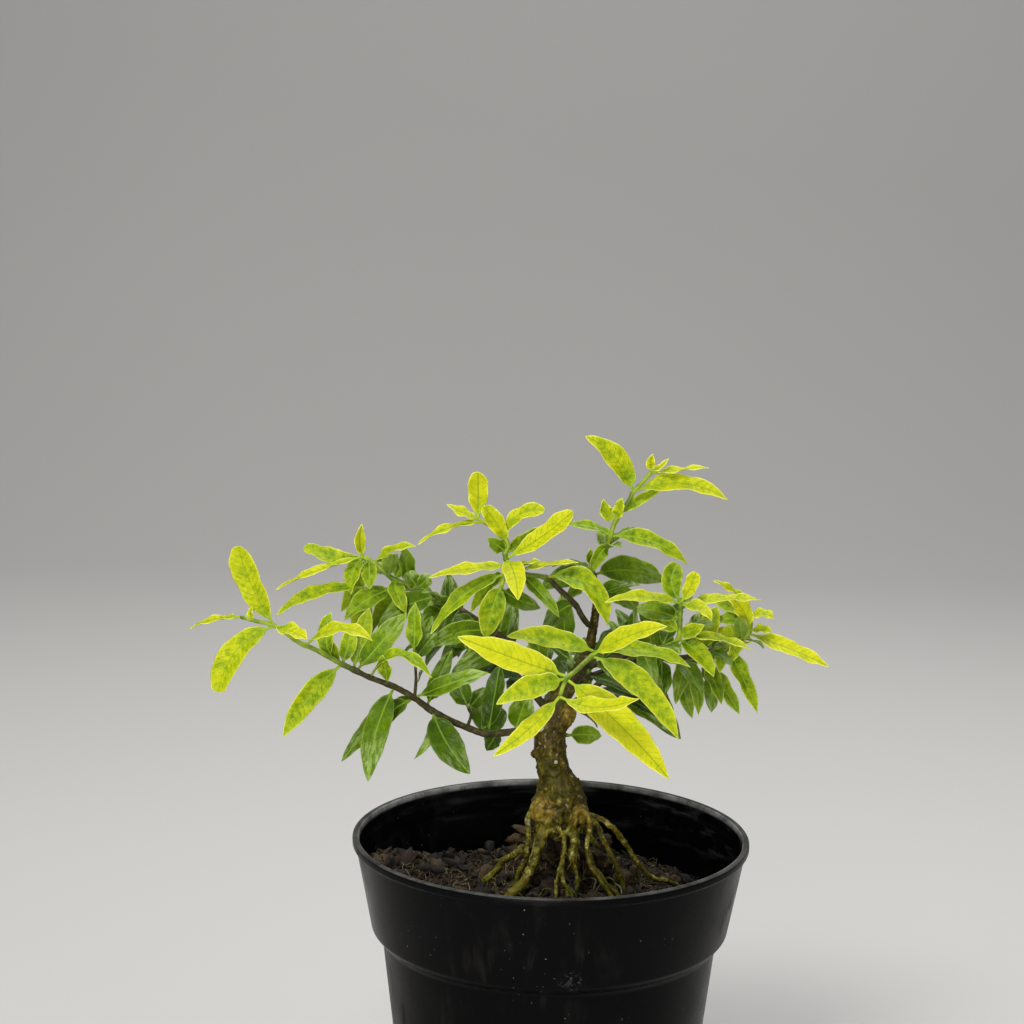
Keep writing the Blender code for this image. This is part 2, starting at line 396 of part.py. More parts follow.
def blade_slab(leaf, thickness=BLADE, extra=0.0, start=0.0):
    """A closed slab round a leaf's middle surface, both of its faces split into triangles alike.

    It has three points across, two at its foot and one at its tip.
    """
    small = np.linalg.norm(leaf[1] - leaf[0]) < SMALL_LENGTH
    t = np.array([start] + [s for s in (SMALL_STATIONS if small else BLADE_STATIONS) if s > start])
    surface, up = blade_surface(leaf, t, np.array([-1.0, 0.0, 1.0]), extra)
    kept = [(0, 2)] + [(0, 1, 2)] * (len(t) - 2) + [(1,)]
    shift = [u * thickness / 2 for u in up]
    top = [surface[i][j] + shift[i] for i, row in enumerate(kept) for j in row]
    under = [surface[i][j] - shift[i] for i, row in enumerate(kept) for j in row]
    low = len(top)
    firsts = np.cumsum([0] + [len(row) for row in kept])
    rows = [list(range(firsts[i], firsts[i + 1])) for i in range(len(kept))]
    faces = [(1, 0, low), (1, low, low + 1)]
    for near, far in zip(rows, rows[1:]):
        if len(near) == 2:
            skin = [(near[0], near[1], far[1]), (near[0], far[1], far[0]), (near[1], far[2], far[1])]
        elif len(far) == 1:
            skin = [(near[0], near[1], far[0]), (near[1], near[2], far[0])]
        else:
            skin = []
            for j in (0, 1):
                skin += [(near[j], near[j + 1], far[j + 1]), (near[j], far[j + 1], far[j])]
        faces += skin + [(low + a, low + c, low + b) for a, b, c in skin]
        a, b = near[0], far[0]
        faces += [(a, low + b, low + a), (a, b, low + b)]
        a, b = near[-1], far[-1]
        faces += [(a, low + a, low + b), (a, low + b, b)]
    return np.array(top + under), faces


def tube(points, radii, sides, bump=None):
    """A closed tube along the points, with a flat end at both ends."""
    p = np.asarray(points, float)
    along = unit(np.gradient(p, axis=0))
    first = np.cross(along[0], (0.0, 1.0, 0.0) if abs(along[0][1]) < 0.9 else (1.0, 0.0, 0.0))
    across = unit(first)
    verts = []
    angles = np.linspace(0, 2 * np.pi, sides, endpoint=False)
    for i, centre in enumerate(p):
        across = unit(across - (across @ along[i]) * along[i])
        other = np.cross(along[i], across)
        reach = radii[i] * (np.ones(sides) if bump is None else bump(i, angles))
        ring = np.cos(angles)[:, None] * across + np.sin(angles)[:, None] * other
        verts.append(centre + reach[:, None] * ring)
    faces = []
    for i in range(len(p) - 1):
        for k in range(sides):
            a, b = i * sides + k, i * sides + (k + 1) % sides
            faces += [(a, b, b + sides), (a, b + sides, a + sides)]
    end = (len(p) - 1) * sides
    for k in range(1, sides - 1):
        faces += [(0, k + 1, k), (end, end + k, end + k + 1)]
    return np.concatenate(verts), faces


def tapered(path, first, last, steps, sides, grow=0.0):
    """A tube on the smooth curve through a path, its radius running evenly from first to last."""
    count = (len(path) - 1) * steps
    shares = np.linspace(0, len(path) - 1, count + 1)
    points = np.array([spline(path, u) for u in shares])
    return tube(points, np.linspace(first, last, count + 1) + grow, sides)


def tree(mesh):
    verts, faces = mesh
    return BVHTree.FromPolygons([tuple(v) for v in verts], faces)


def touches(mesh, others):
    mine = tree(mesh)
    return any(mine.overlap(other) for other in others)


def trimmed(twig, wood):
    """A twig's tube, begun where its end comes clear of the wood."""
    path, first, last = twig
    end = len(path) - 1
    for start in np.arange(0.0, 2.0, 0.05):
        stops = [start] + [u for u in range(1, end + 1) if u > start + 0.3]
        points = np.array([spline(path, u) for u in stops])
        radii = np.interp(stops, [0, end], [first, last])
        if not touches(tube(points, radii + GAP, TWIG_SIDES), wood):
            return tube(points, radii, TWIG_SIDES)
    raise ValueError("a twig never comes clear of the wood")


def twig_tubes(branch, wood):
    """The twigs of a branch: the first begins clear of the wood, side twigs grow out of the first."""
    main, *sides = branch["twigs"]
    return [trimmed(main, wood)] + [tapered(path, first, last, 1, TWIG_SIDES) for path, first, last in sides]


def photographed_leaves(branch):
    for twig, node, tip, bulge, width, face, *blunt in branch["leaves"]:
        base = spline(branch["twigs"][twig][0], node)
        fall = blunt[0] if blunt else POINTED
        yield base, np.array(tip, float), np.array(bulge, float), width, np.array(face, float), fall


def paired_leaves(branch):
    """Opposite leaves, each pair turned a right angle from the last, as the plant grows them."""
    for twig, start, end, pairs, length, width, seed in branch.get("pairs", []):
        draw = np.random.default_rng(seed)
        path = branch["twigs"][twig][0]
        for k, node in enumerate(np.linspace(start, end, pairs)):
            along = tangent(path, node)
            level = unit(np.cross(along, (0.0, 0.0, 1.0)))
            upward = np.cross(level, along)
            turn = 90 * (k % 2) + 25 + draw.uniform(-PAIR_SPREAD, PAIR_SPREAD)
            for side in (0, 180):
                out = turned(level, along, turn + side + draw.uniform(-PAIR_SPREAD, PAIR_SPREAD))
                reach = length * draw.uniform(0.82, 1.12)
                way = unit(out + PAIR_LEAN * along + 0.25 * upward)
                base = spline(path, node)
                tip = base + way * reach - np.array([0.0, 0.0, PAIR_SINK * reach])
                face = unit(np.array([0.0, -0.2, 1.0]) + 0.3 * out)
                bulge = PAIR_ARCH * reach * (face - (face @ way) * way)
                yield base, tip, bulge, width * draw.uniform(0.85, 1.1), face, POINTED


def bent(leaf, lift, swing):
    """A leaf turned about its base: lift raises the tip, swing moves it sideways."""
    base, tip, bulge, width, face, fall = leaf
    along = unit(tip - base)
    up = unit(face - (along @ face) * along)
    side = np.cross(along, up)
    parts = []
    for v in (tip - base, bulge, face):
        parts.append(turned(turned(v, side, lift), up, swing))
    return base, base + parts[0], parts[1], width, parts[2], fall


def grow_branches(wood):
    """Every branch's closed pieces, with each leaf bent clear of the wood and of the other branches."""
    pieces = {name: twig_tubes(branch, wood) for name, branch in BRANCHES.items()}
    trees = {name: [tree(mesh) for mesh in meshes] for name, meshes in pieces.items()}
    for name, branch in BRANCHES.items():
        own = list(trees[name])
        for leaf in [*photographed_leaves(branch), *paired_leaves(branch)]:
            others = wood + [t for other, ts in trees.items() if other != name for t in ts]
            for lift, swing in BENDS:
                moved = bent(leaf, lift, swing)
                outer = blade_slab(moved, start=OUTER_START)
                if not touches(blade_slab(moved, BLADE + 2 * GAP, GAP), others) and not touches(outer, own):
                    slab = blade_slab(moved)
                    pieces[name].append(slab)
                    trees[name].append(tree(slab))
                    own.append(tree(outer))
                    break
    return pieces


def wood_pieces(grow=0.0):
    """Trunk with knobbly bark, stubs and roots. A positive grow makes the cutter for the holes in soil."""
    centres = np.array([row[:3] for row in TRUNK])
    radii = np.array([row[3] for row in TRUNK])

    def knobbly(i, angles):
        knobs = np.sin(3 * angles + 1.7 * i) + 0.6 * np.sin(5 * angles - 2.3 * i)
        return 1 + KNOB * knobs * min(1, radii[i] / 4)

    meshes = [] if grow else [tube(centres, radii, TRUNK_SIDES, knobbly)]
    if not grow:
        meshes += [tube([row[:3] for row in stub], [row[3] for row in stub], STUB_SIDES) for stub in STUBS]
    for path, first, last in ROOTS:
        below = [tuple(2 * np.array(path[-1]) - np.array(path[-2]))]
        if path[-1][2] > SOIL_EDGE_HEIGHT + MOUND_HEIGHT:
            below = []
        meshes.append(tapered(path + below, first, last, 1, ROOT_SIDES, grow))
    return meshes


def pot_profile():
    """Half of the pot's section, down the outside, under the foot and up the inside."""
    band_foot = POT_HEIGHT - BAND_HEIGHT
    shoulder = band_foot - SHOULDER_DROP
    outer = [(RIM_RADIUS - 1.6, POT_HEIGHT), (RIM_RADIUS - 0.4, POT_HEIGHT - 0.2),
             (RIM_RADIUS, POT_HEIGHT - 1.0), (RIM_RADIUS - BEAD, POT_HEIGHT - 2.4),
             (BAND_FOOT_RADIUS + 0.3, band_foot + 0.8), (BAND_FOOT_RADIUS - 0.5, band_foot),
             (BODY_TOP_RADIUS + 0.6, shoulder + 0.5), (BODY_TOP_RADIUS, shoulder - 0.3),
             (FOOT_RADIUS + 0.8, 2.0), (FOOT_RADIUS, 0.0)]
    under = [(FOOT_RADIUS - FOOT_RING, 0.0), (FOOT_RADIUS - FOOT_RING - 0.8, FOOT_RECESS),
             (CENTRE_PAD_RADIUS + 0.8, FOOT_RECESS), (CENTRE_PAD_RADIUS, 0.0), (0.0, 0.0)]
    inner = [(0.0, FLOOR), (FOOT_RADIUS + 0.8 - WALL, FLOOR), (BODY_TOP_RADIUS - WALL, shoulder - 0.8),
             (BAND_FOOT_RADIUS - WALL, band_foot + 0.8), (RIM_RADIUS - 3.2, POT_HEIGHT - 9.0),
             (RIM_RADIUS - 2.6, POT_HEIGHT - 8.4), (RIM_RADIUS - 2.2, POT_HEIGHT - 3.8)]
    return outer + under + inner


def inner_radius(z):
    """The pot's inner radius at height z, below its rim ledges."""
    band_foot = POT_HEIGHT - BAND_HEIGHT
    shoulder = band_foot - SHOULDER_DROP
    points = [(FLOOR, FOOT_RADIUS + 0.8 - WALL), (shoulder - 0.8, BODY_TOP_RADIUS - WALL),
              (band_foot + 0.8, BAND_FOOT_RADIUS - WALL), (POT_HEIGHT - 9.0, RIM_RADIUS - 3.2)]
    return np.interp(z, [p[0] for p in points], [p[1] for p in points])


def turned_solid(profile, segments):
    """A closed solid from a section that starts off the axis, passes it twice and closes on itself."""
    angles = np.linspace(0, 2 * np.pi, segments, endpoint=False)
    verts, rings = [], []
    for radius, z in profile:
        if radius == 0:
            rings.append([len(verts)])
            verts.append((0.0, 0.0, z))
        else:
            rings.append(list(range(len(verts), len(verts) + segments)))
            verts += [(radius * np.cos(a), radius * np.sin(a), z) for a in angles]
    faces = []
    for upper, lower in zip(rings, rings[1:] + rings[:1]):
        if len(upper) == 1 and len(lower) == 1:
            continue
        for k in range(segments):
            n = (k + 1) % segments
            if len(lower) == 1:
                faces.append((upper[k], lower[0], upper[n]))
            elif len(upper) == 1:
                faces.append((upper[0], lower[k], lower[n]))
            else:
                faces += [(upper[k], lower[k], lower[n]), (upper[k], lower[n], upper[n])]
    return np.array(verts), faces


def soil_height(x, y):
    """Height of the soil: heaped at the trunk, banked up on the left, with the root ball's clod behind."""
    mound = MOUND_HEIGHT * np.exp(-(x ** 2 + y ** 2) / MOUND_RADIUS ** 2)
    bank = BANK_HEIGHT * np.exp(-((x - BANK_PLACE[0]) ** 2 + (y - BANK_PLACE[1]) ** 2) / BANK_REACH ** 2)
    apart = ((x - CLOD_PLACE[0]) / CLOD_REACH[0]) ** 2 + ((y - CLOD_PLACE[1]) / CLOD_REACH[1]) ** 2
    clod = CLOD_HEIGHT * np.exp(-apart ** 2)
    crumbs = np.sin(1.9 * x + 0.7 * y) + np.sin(2.3 * y - 0.9 * x + 1)
    crumbs = crumbs + 0.7 * np.sin(0.6 * x * np.sign(y) + 1.1 * y)
    return SOIL_EDGE_HEIGHT + mound + bank + clod + CRUMB * crumbs / 2


def soil_solid():
    """Potting mix from the pot's floor to its crumbly top, a gap clear of the pot."""
    angles = np.linspace(0, 2 * np.pi, SOIL_SEGMENTS, endpoint=False)
    step = np.cos(np.pi / SOIL_SEGMENTS)
    rim = inner_radius(SOIL_EDGE_HEIGHT)
    edge_height = soil_height(rim * np.cos(angles), rim * np.sin(angles))
    edge = (inner_radius(edge_height - 2) - GAP) * step
    rows = []
    for ring in range(1, SOIL_RINGS + 1):
        radius = edge * ring / SOIL_RINGS
        jog = 0.3 * (ring % 2) * 2 * np.pi / SOIL_SEGMENTS if ring < SOIL_RINGS else 0.0
        x, y = radius * np.cos(angles + jog), radius * np.sin(angles + jog)
        rows.append(np.stack([x, y, soil_height(x, y)], -1))
    shoulder = POT_HEIGHT - BAND_HEIGHT - SHOULDER_DROP - 0.8
    for z in (shoulder, FLOOR + GAP):
        radius = (inner_radius(z) - GAP) * step
        x, y = radius * np.cos(angles), radius * np.sin(angles)
        rows.append(np.stack([x, y, np.full(SOIL_SEGMENTS, z)], -1))
    top = np.array([[0.0, 0.0, soil_height(0.0, 0.0)]])
    bottom = np.array([[0.0, 0.0, FLOOR + GAP]])
    verts = np.concatenate([top, *rows, bottom])
    last = len(verts) - 1
    n = SOIL_SEGMENTS
    faces = []
    for k in range(n):
        m = (k + 1) % n
        faces.append((0, 1 + k, 1 + m))
        for i in range(len(rows) - 1):
            a, b = 1 + i * n + k, 1 + i * n + m
            faces += [(a, a + n, b + n), (a, b + n, b)]
        a = 1 + (len(rows) - 1) * n
        faces.append((a + k, last, a + m))
    return verts, faces


def drain_cutters():
    for k in range(DRAIN_HOLES):
        a = 2 * np.pi * (k + 0.5) / DRAIN_HOLES
        x, y = DRAIN_CIRCLE * np.cos(a), DRAIN_CIRCLE * np.sin(a)
        yield tube([(x, y, -2), (x, y, FLOOR + 2)], [DRAIN_RADIUS] * 2, 8)


def material(name, colour, roughness):
    mat = bpy.data.materials.new(name)
    mat.use_nodes = True
    shader = mat.node_tree.nodes["Principled BSDF"]
    shader.inputs["Base Color"].default_value = (*colour, 1)
    shader.inputs["Roughness"].default_value = roughness
    shader.inputs["Metallic"].default_value = 0.0
    return mat


def add_object(name, mesh, mat=None, collection=None):
    verts, faces = mesh
    data = bpy.data.meshes.new(name)
    data.from_pydata([tuple(v * MM for v in row) for row in np.asarray(verts)], [], faces)
    obj = bpy.data.objects.new(name, data)
    (collection or bpy.context.scene.collection).objects.link(obj)
    if mat:
        data.materials.append(mat)
    return obj


def largest_body(data):
    """Drops loose scraps, keeping the body with the most corners, and joins what lies in one plane."""
    bm = bmesh.new()
    bm.from_mesh(data)
    left, best = set(bm.verts), []
    while left:
        body, edge = [], [left.pop()]
        while edge:
            v = edge.pop()
            body.append(v)
            for e in v.link_edges:
                w = e.other_vert(v)
                if w in left:
                    left.remove(w)
                    edge.append(w)
        if len(body) > len(best):
            best = body
    keep = set(best)
    bmesh.ops.delete(bm, geom=[v for v in bm.verts if v not in keep], context="VERTS")
    bmesh.ops.dissolve_limit(bm, angle_limit=np.radians(FLAT_DEGREES), verts=bm.verts, edges=bm.edges)
    bmesh.ops.triangulate(bm, faces=bm.faces)
    bm.to_mesh(data)
    bm.free()


def combine(obj, meshes, operation, solver="MANIFOLD"):
    """One Boolean between the object and a collection of closed pieces, applied, and the pieces removed."""
    collection = bpy.data.collections.new(obj.name + "_pieces")
    bpy.context.scene.collection.children.link(collection)
    for k, mesh in enumerate(meshes):
        add_object(f"{obj.name}_{k}", mesh, None, collection)
    boolean = obj.modifiers.new("pieces", "BOOLEAN")
    boolean.operation = operation
    boolean.operand_type = "COLLECTION"
    boolean.collection = collection
    boolean.solver = solver
    graph = bpy.context.evaluated_depsgraph_get()
    result = bpy.data.meshes.new_from_object(obj.evaluated_get(graph))
    obj.modifiers.clear()
    obj.data = result
    for piece in list(collection.objects):
        bpy.data.objects.remove(piece)
    bpy.data.collections.remove(collection)
    largest_body(obj.data)


def shade(obj, sharp_degrees=40):
    obj.data.shade_smooth()
    obj.data.set_sharp_from_angle(angle=np.radians(sharp_degrees))


def build():
    for obj in list(bpy.data.objects):
        bpy.data.objects.remove(obj)

    plastic = material("black_plastic", (0.012, 0.012, 0.014), 0.38)
    pot = add_object("pot", turned_solid(pot_profile(), POT_SEGMENTS), plastic)
    combine(pot, drain_cutters(), "DIFFERENCE")

    soil = add_object("soil", soil_solid(), material("potting_mix", (0.045, 0.03, 0.024), 0.95))
    combine(soil, wood_pieces(grow=GAP), "DIFFERENCE")

    trunk, *rest = wood_pieces()
    wood = add_object("wood", trunk, material("bark", (0.16, 0.12, 0.045), 0.8))
    combine(wood, rest, "UNION")

    leaf_green = material("leaf_green", (0.28, 0.42, 0.03), 0.35)
    stops = [tree(mesh) for mesh in (trunk, *rest)]
    for name, meshes in grow_branches(stops).items():
        branch = add_object(name, meshes[0], leaf_green)
        combine(branch, meshes[1:], "UNION")
        shade(branch)
    shade(pot)
    shade(soil)
    shade(wood)


build()
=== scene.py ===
"""Wrightia mame bonsai in a four-inch nursery pot: fine leaves, bark, roots, potting mix and pot.

The layout is the same as that of the solids, in millimetres, and MM turns it into metres.
"""

import bmesh
import bpy
import numpy as np
from mathutils import Matrix, Vector, noise
from mathutils.bvhtree import BVHTree


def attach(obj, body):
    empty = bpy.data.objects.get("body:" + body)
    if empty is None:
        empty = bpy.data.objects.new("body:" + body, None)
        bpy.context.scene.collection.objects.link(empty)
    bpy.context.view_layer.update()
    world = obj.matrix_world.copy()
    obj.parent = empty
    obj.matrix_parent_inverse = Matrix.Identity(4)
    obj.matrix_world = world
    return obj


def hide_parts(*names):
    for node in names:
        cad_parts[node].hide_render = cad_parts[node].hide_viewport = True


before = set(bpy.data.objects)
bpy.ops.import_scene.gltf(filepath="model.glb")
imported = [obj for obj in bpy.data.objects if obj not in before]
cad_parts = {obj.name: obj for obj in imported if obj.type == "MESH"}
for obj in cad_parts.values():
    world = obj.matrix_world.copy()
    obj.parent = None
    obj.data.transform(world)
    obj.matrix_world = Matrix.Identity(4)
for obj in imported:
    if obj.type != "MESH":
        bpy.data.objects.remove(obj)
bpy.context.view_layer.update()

MM = 0.001
GAP = 0.3

# Pot, as in the solids
RIM_RADIUS = 50.8
POT_HEIGHT = 89.0
BAND_HEIGHT = 24.5
BAND_FOOT_RADIUS = 45.5
BODY_TOP_RADIUS = 43.0
SHOULDER_DROP = 2.0
FOOT_RADIUS = 35.0
WALL = 1.2
FLOOR = 3.0
FOOT_RING = 2.5
FOOT_RECESS = 1.5
CENTRE_PAD_RADIUS = 12.0
DRAIN_HOLES = 8
DRAIN_RADIUS = 3.0
DRAIN_CIRCLE = 24.0

# Soil
SOIL_EDGE_HEIGHT = 70.3
MOUND_HEIGHT = 4.6
MOUND_RADIUS = 28.0
BANK_PLACE = (-50.0, 0.0)
BANK_REACH = 24.0
BANK_HEIGHT = 11.0
CLOD_PLACE = (3.0, 14.0)
CLOD_REACH = (14.0, 11.0)
CLOD_HEIGHT = 14.0

# Camera
CAMERA_PLACE = (0.0, -0.4766, 0.2392)
CAMERA_DOWN = 8.0
CAMERA_LEFT = 1.35
CAMERA_ROLL = 0.9
LENS = 67.3

# Leaves: blade thickness, half-width of the stalk, share of the length that is stalk, fold and waved edge.
# The width grows as the power RISE of the length so far and falls as POINTED or BLUNT of what is left.
BLADE = 0.66
STALK = 0.36
STALK_SHARE = 0.1
TIP = 0.12
FOLD = np.tan(np.radians(16))
WAVE = 0.38
WAVE_LENGTH = 0.44
WAVE_START = 0.14
BLADE_STATIONS = (0.0, 0.14, 0.34, 0.56, 0.79, 1.0)
SMALL_STATIONS = (0.0, 0.16, 0.42, 0.74, 1.0)
SMALL_LENGTH = 22.0
RISE = 0.53
POINTED = 0.8
BLUNT = 0.36
OUTER_START = 0.3
TWIG_SIDES = 5

# The trunk and the main stem above it: (x, y, z, radius)
TRUNK = [(2.2, 1.0, 87.5, 1.6), (2.1, 0.5, 89.0, 3.2), (1.9, 0.0, 91.2, 4.8), (2.0, 0.0, 94.0, 6.2),
         (2.1, 0.0, 97.5, 6.3), (2.4, 0.0, 100.5, 5.2), (0.9, 0.0, 104.5, 4.2), (-0.3, 0.0, 109.0, 4.1),
         (-0.7, 0.0, 113.5, 4.0), (-0.5, 0.0, 117.5, 4.0), (0.6, 0.0, 121.5, 3.5), (2.6, 0.2, 125.5, 2.4),
         (5.0, 0.4, 129.5, 1.8), (7.4, 0.8, 134.0, 1.5), (9.2, 1.6, 139.0, 1.3), (10.2, 3.2, 144.5, 1.1),
         (10.8, 6.0, 149.5, 1.0)]
TRUNK_SIDES = 10
KNOB = 0.07

# Knobs and stubs on the wood: (x, y, z, radius)
STUBS = [[(1.2, -1.2, 116, 1.7), (3.0, -2.2, 119, 1.9), (4.4, -3.0, 121.6, 1.7), (4.7, -3.2, 122.3, 1.2)],
         [(-2.6, 0.0, 108.8, 1.4), (-4.6, -0.3, 109.9, 0.9), (-5.4, -0.4, 110.3, 0.5)],
         [(-0.6, -1.2, 99.4, 1.8), (-1.8, -3.2, 97.8, 3), (-2.6, -4.2, 95.8, 3.1), (-3, -4.6, 93.6, 1.6)],
         [(5.6, -0.6, 99.6, 1.6), (6.6, -1.4, 97.2, 2.5), (7.4, -2.0, 94.6, 2.4), (7.6, -2.4, 92.6, 1.4)],
         [(3.4, 2.2, 99.0, 1.8), (4.6, 3.6, 96.6, 2.9), (5.2, 4.4, 93.6, 2.6), (5.4, 4.8, 91.0, 1.2)],
         [(0.4, -3.0, 96.8, 1.4), (0.4, -4.4, 95.2, 2.0), (0.5, -4.8, 93.0, 1.9), (0.8, -4.6, 91.0, 1.1)]]

# Exposed roots, from the root crown into the soil: points and radii at both ends
ROOTS = [
    ([(-4.0, -1.5, 96), (-5.7, -3.5, 94), (-5.6, -4, 90), (-6.2, -4.5, 86), (-7, -5, 82.5), (-8.3, -6, 78.5),
      (-9.5, -7.5, 73.5), (-10.5, -9, 68)], 0.85, 0.6),
    ([(-0.8, -3, 95), (-1.6, -4.4, 91.5), (-2.8, -5.4, 88), (-3.8, -6.2, 84.5), (-5.0, -7, 81),
      (-7.6, -9, 77.6), (-11, -11, 74.5), (-14, -13, 69)], 1.5, 1.15),
    ([(-6.0, -3.4, 86.5), (-8.7, -3, 84.4), (-11.4, -2, 82.2), (-13.4, -1, 79.6), (-15.8, 0, 77),
      (-17.8, 1, 74), (-20, 2, 69)], 0.85, 0.8),
    ([(1.2, -5, 94), (2.9, -6.5, 91.5), (3.5, -7.5, 88.5), (3.3, -8, 85), (3.1, -9, 81.5), (4.0, -10, 78.5),
      (4.7, -11, 75.5), (5.6, -13, 70)], 0.65, 0.5),
    ([(3.0, -8.2, 84.5), (1.8, -10.5, 79), (1.7, -12, 75), (1.0, -14, 70)], 0.5, 0.45),
    ([(4.5, -10.2, 78.5), (6.8, -12, 74.5), (8.5, -14, 70)], 0.5, 0.4),
    ([(4.5, -4, 94), (6, -5, 96), (8, -5, 96.5), (9.6, -5, 95), (10, -5.5, 91), (9.2, -6.5, 87.5),
      (9.6, -7, 84.5), (11.4, -8, 81.5), (13.8, -9.5, 78.5), (15.8, -11, 75.5), (17.5, -13, 70)], 0.75, 0.5),
    ([(9.2, -6.6, 87), (10.9, -6.3, 83), (13.4, -7, 79.8), (16.4, -8, 76.5), (19, -9.5, 73.5),
      (21.5, -11, 69)], 0.55, 0.45),
    ([(6.5, -1, 95), (11, -1.5, 93), (12.8, -1.5, 89.5), (14.5, -1, 86), (16.5, -0.5, 82.3), (17.8, 0, 79.3),
      (19, 0.5, 75.5), (20.5, 1, 70)], 0.75, 0.5),
    ([(5.5, 2, 95), (11.5, 2.5, 92.8), (14.8, 3, 91), (17.5, 4, 87.7), (20, 5, 84.2), (22, 5.5, 81),
      (24, 6, 78), (26.5, 7, 75.6), (29.5, 8, 74.2), (33, 9, 73), (36.5, 10.5, 70)], 0.8, 0.6),
    ([(5.0, -3.5, 92), (6.3, -6.0, 89), (5.7, -7.0, 86), (5.6, -7.2, 83)], 1.2, 1.1),
    ([(5.6, -7.2, 84), (6.6, -7.8, 80.5), (7.2, -8.6, 77), (7.8, -9.4, 73), (8.2, -10, 69)], 0.6, 0.4),
    ([(-1.5, 3, 94), (-3.0, 6, 90), (-3.5, 9, 84), (-3.5, 13, 78), (-4, 17, 73), (-5, 20, 68)], 1.1, 0.8),
    ([(2, 4, 94), (3.5, 8, 89), (4.5, 11, 83), (6.5, 15, 77.5), (7.5, 19, 73), (8.5, 22, 68)], 1.1, 0.8),
    ([(5, 3.5, 93), (9, 7, 88), (12.5, 10, 82), (16, 14, 77), (20, 18, 72.5), (23, 21, 68)], 0.9, 0.6),
]
ROOT_SIDES = 5
STUB_SIDES = 7

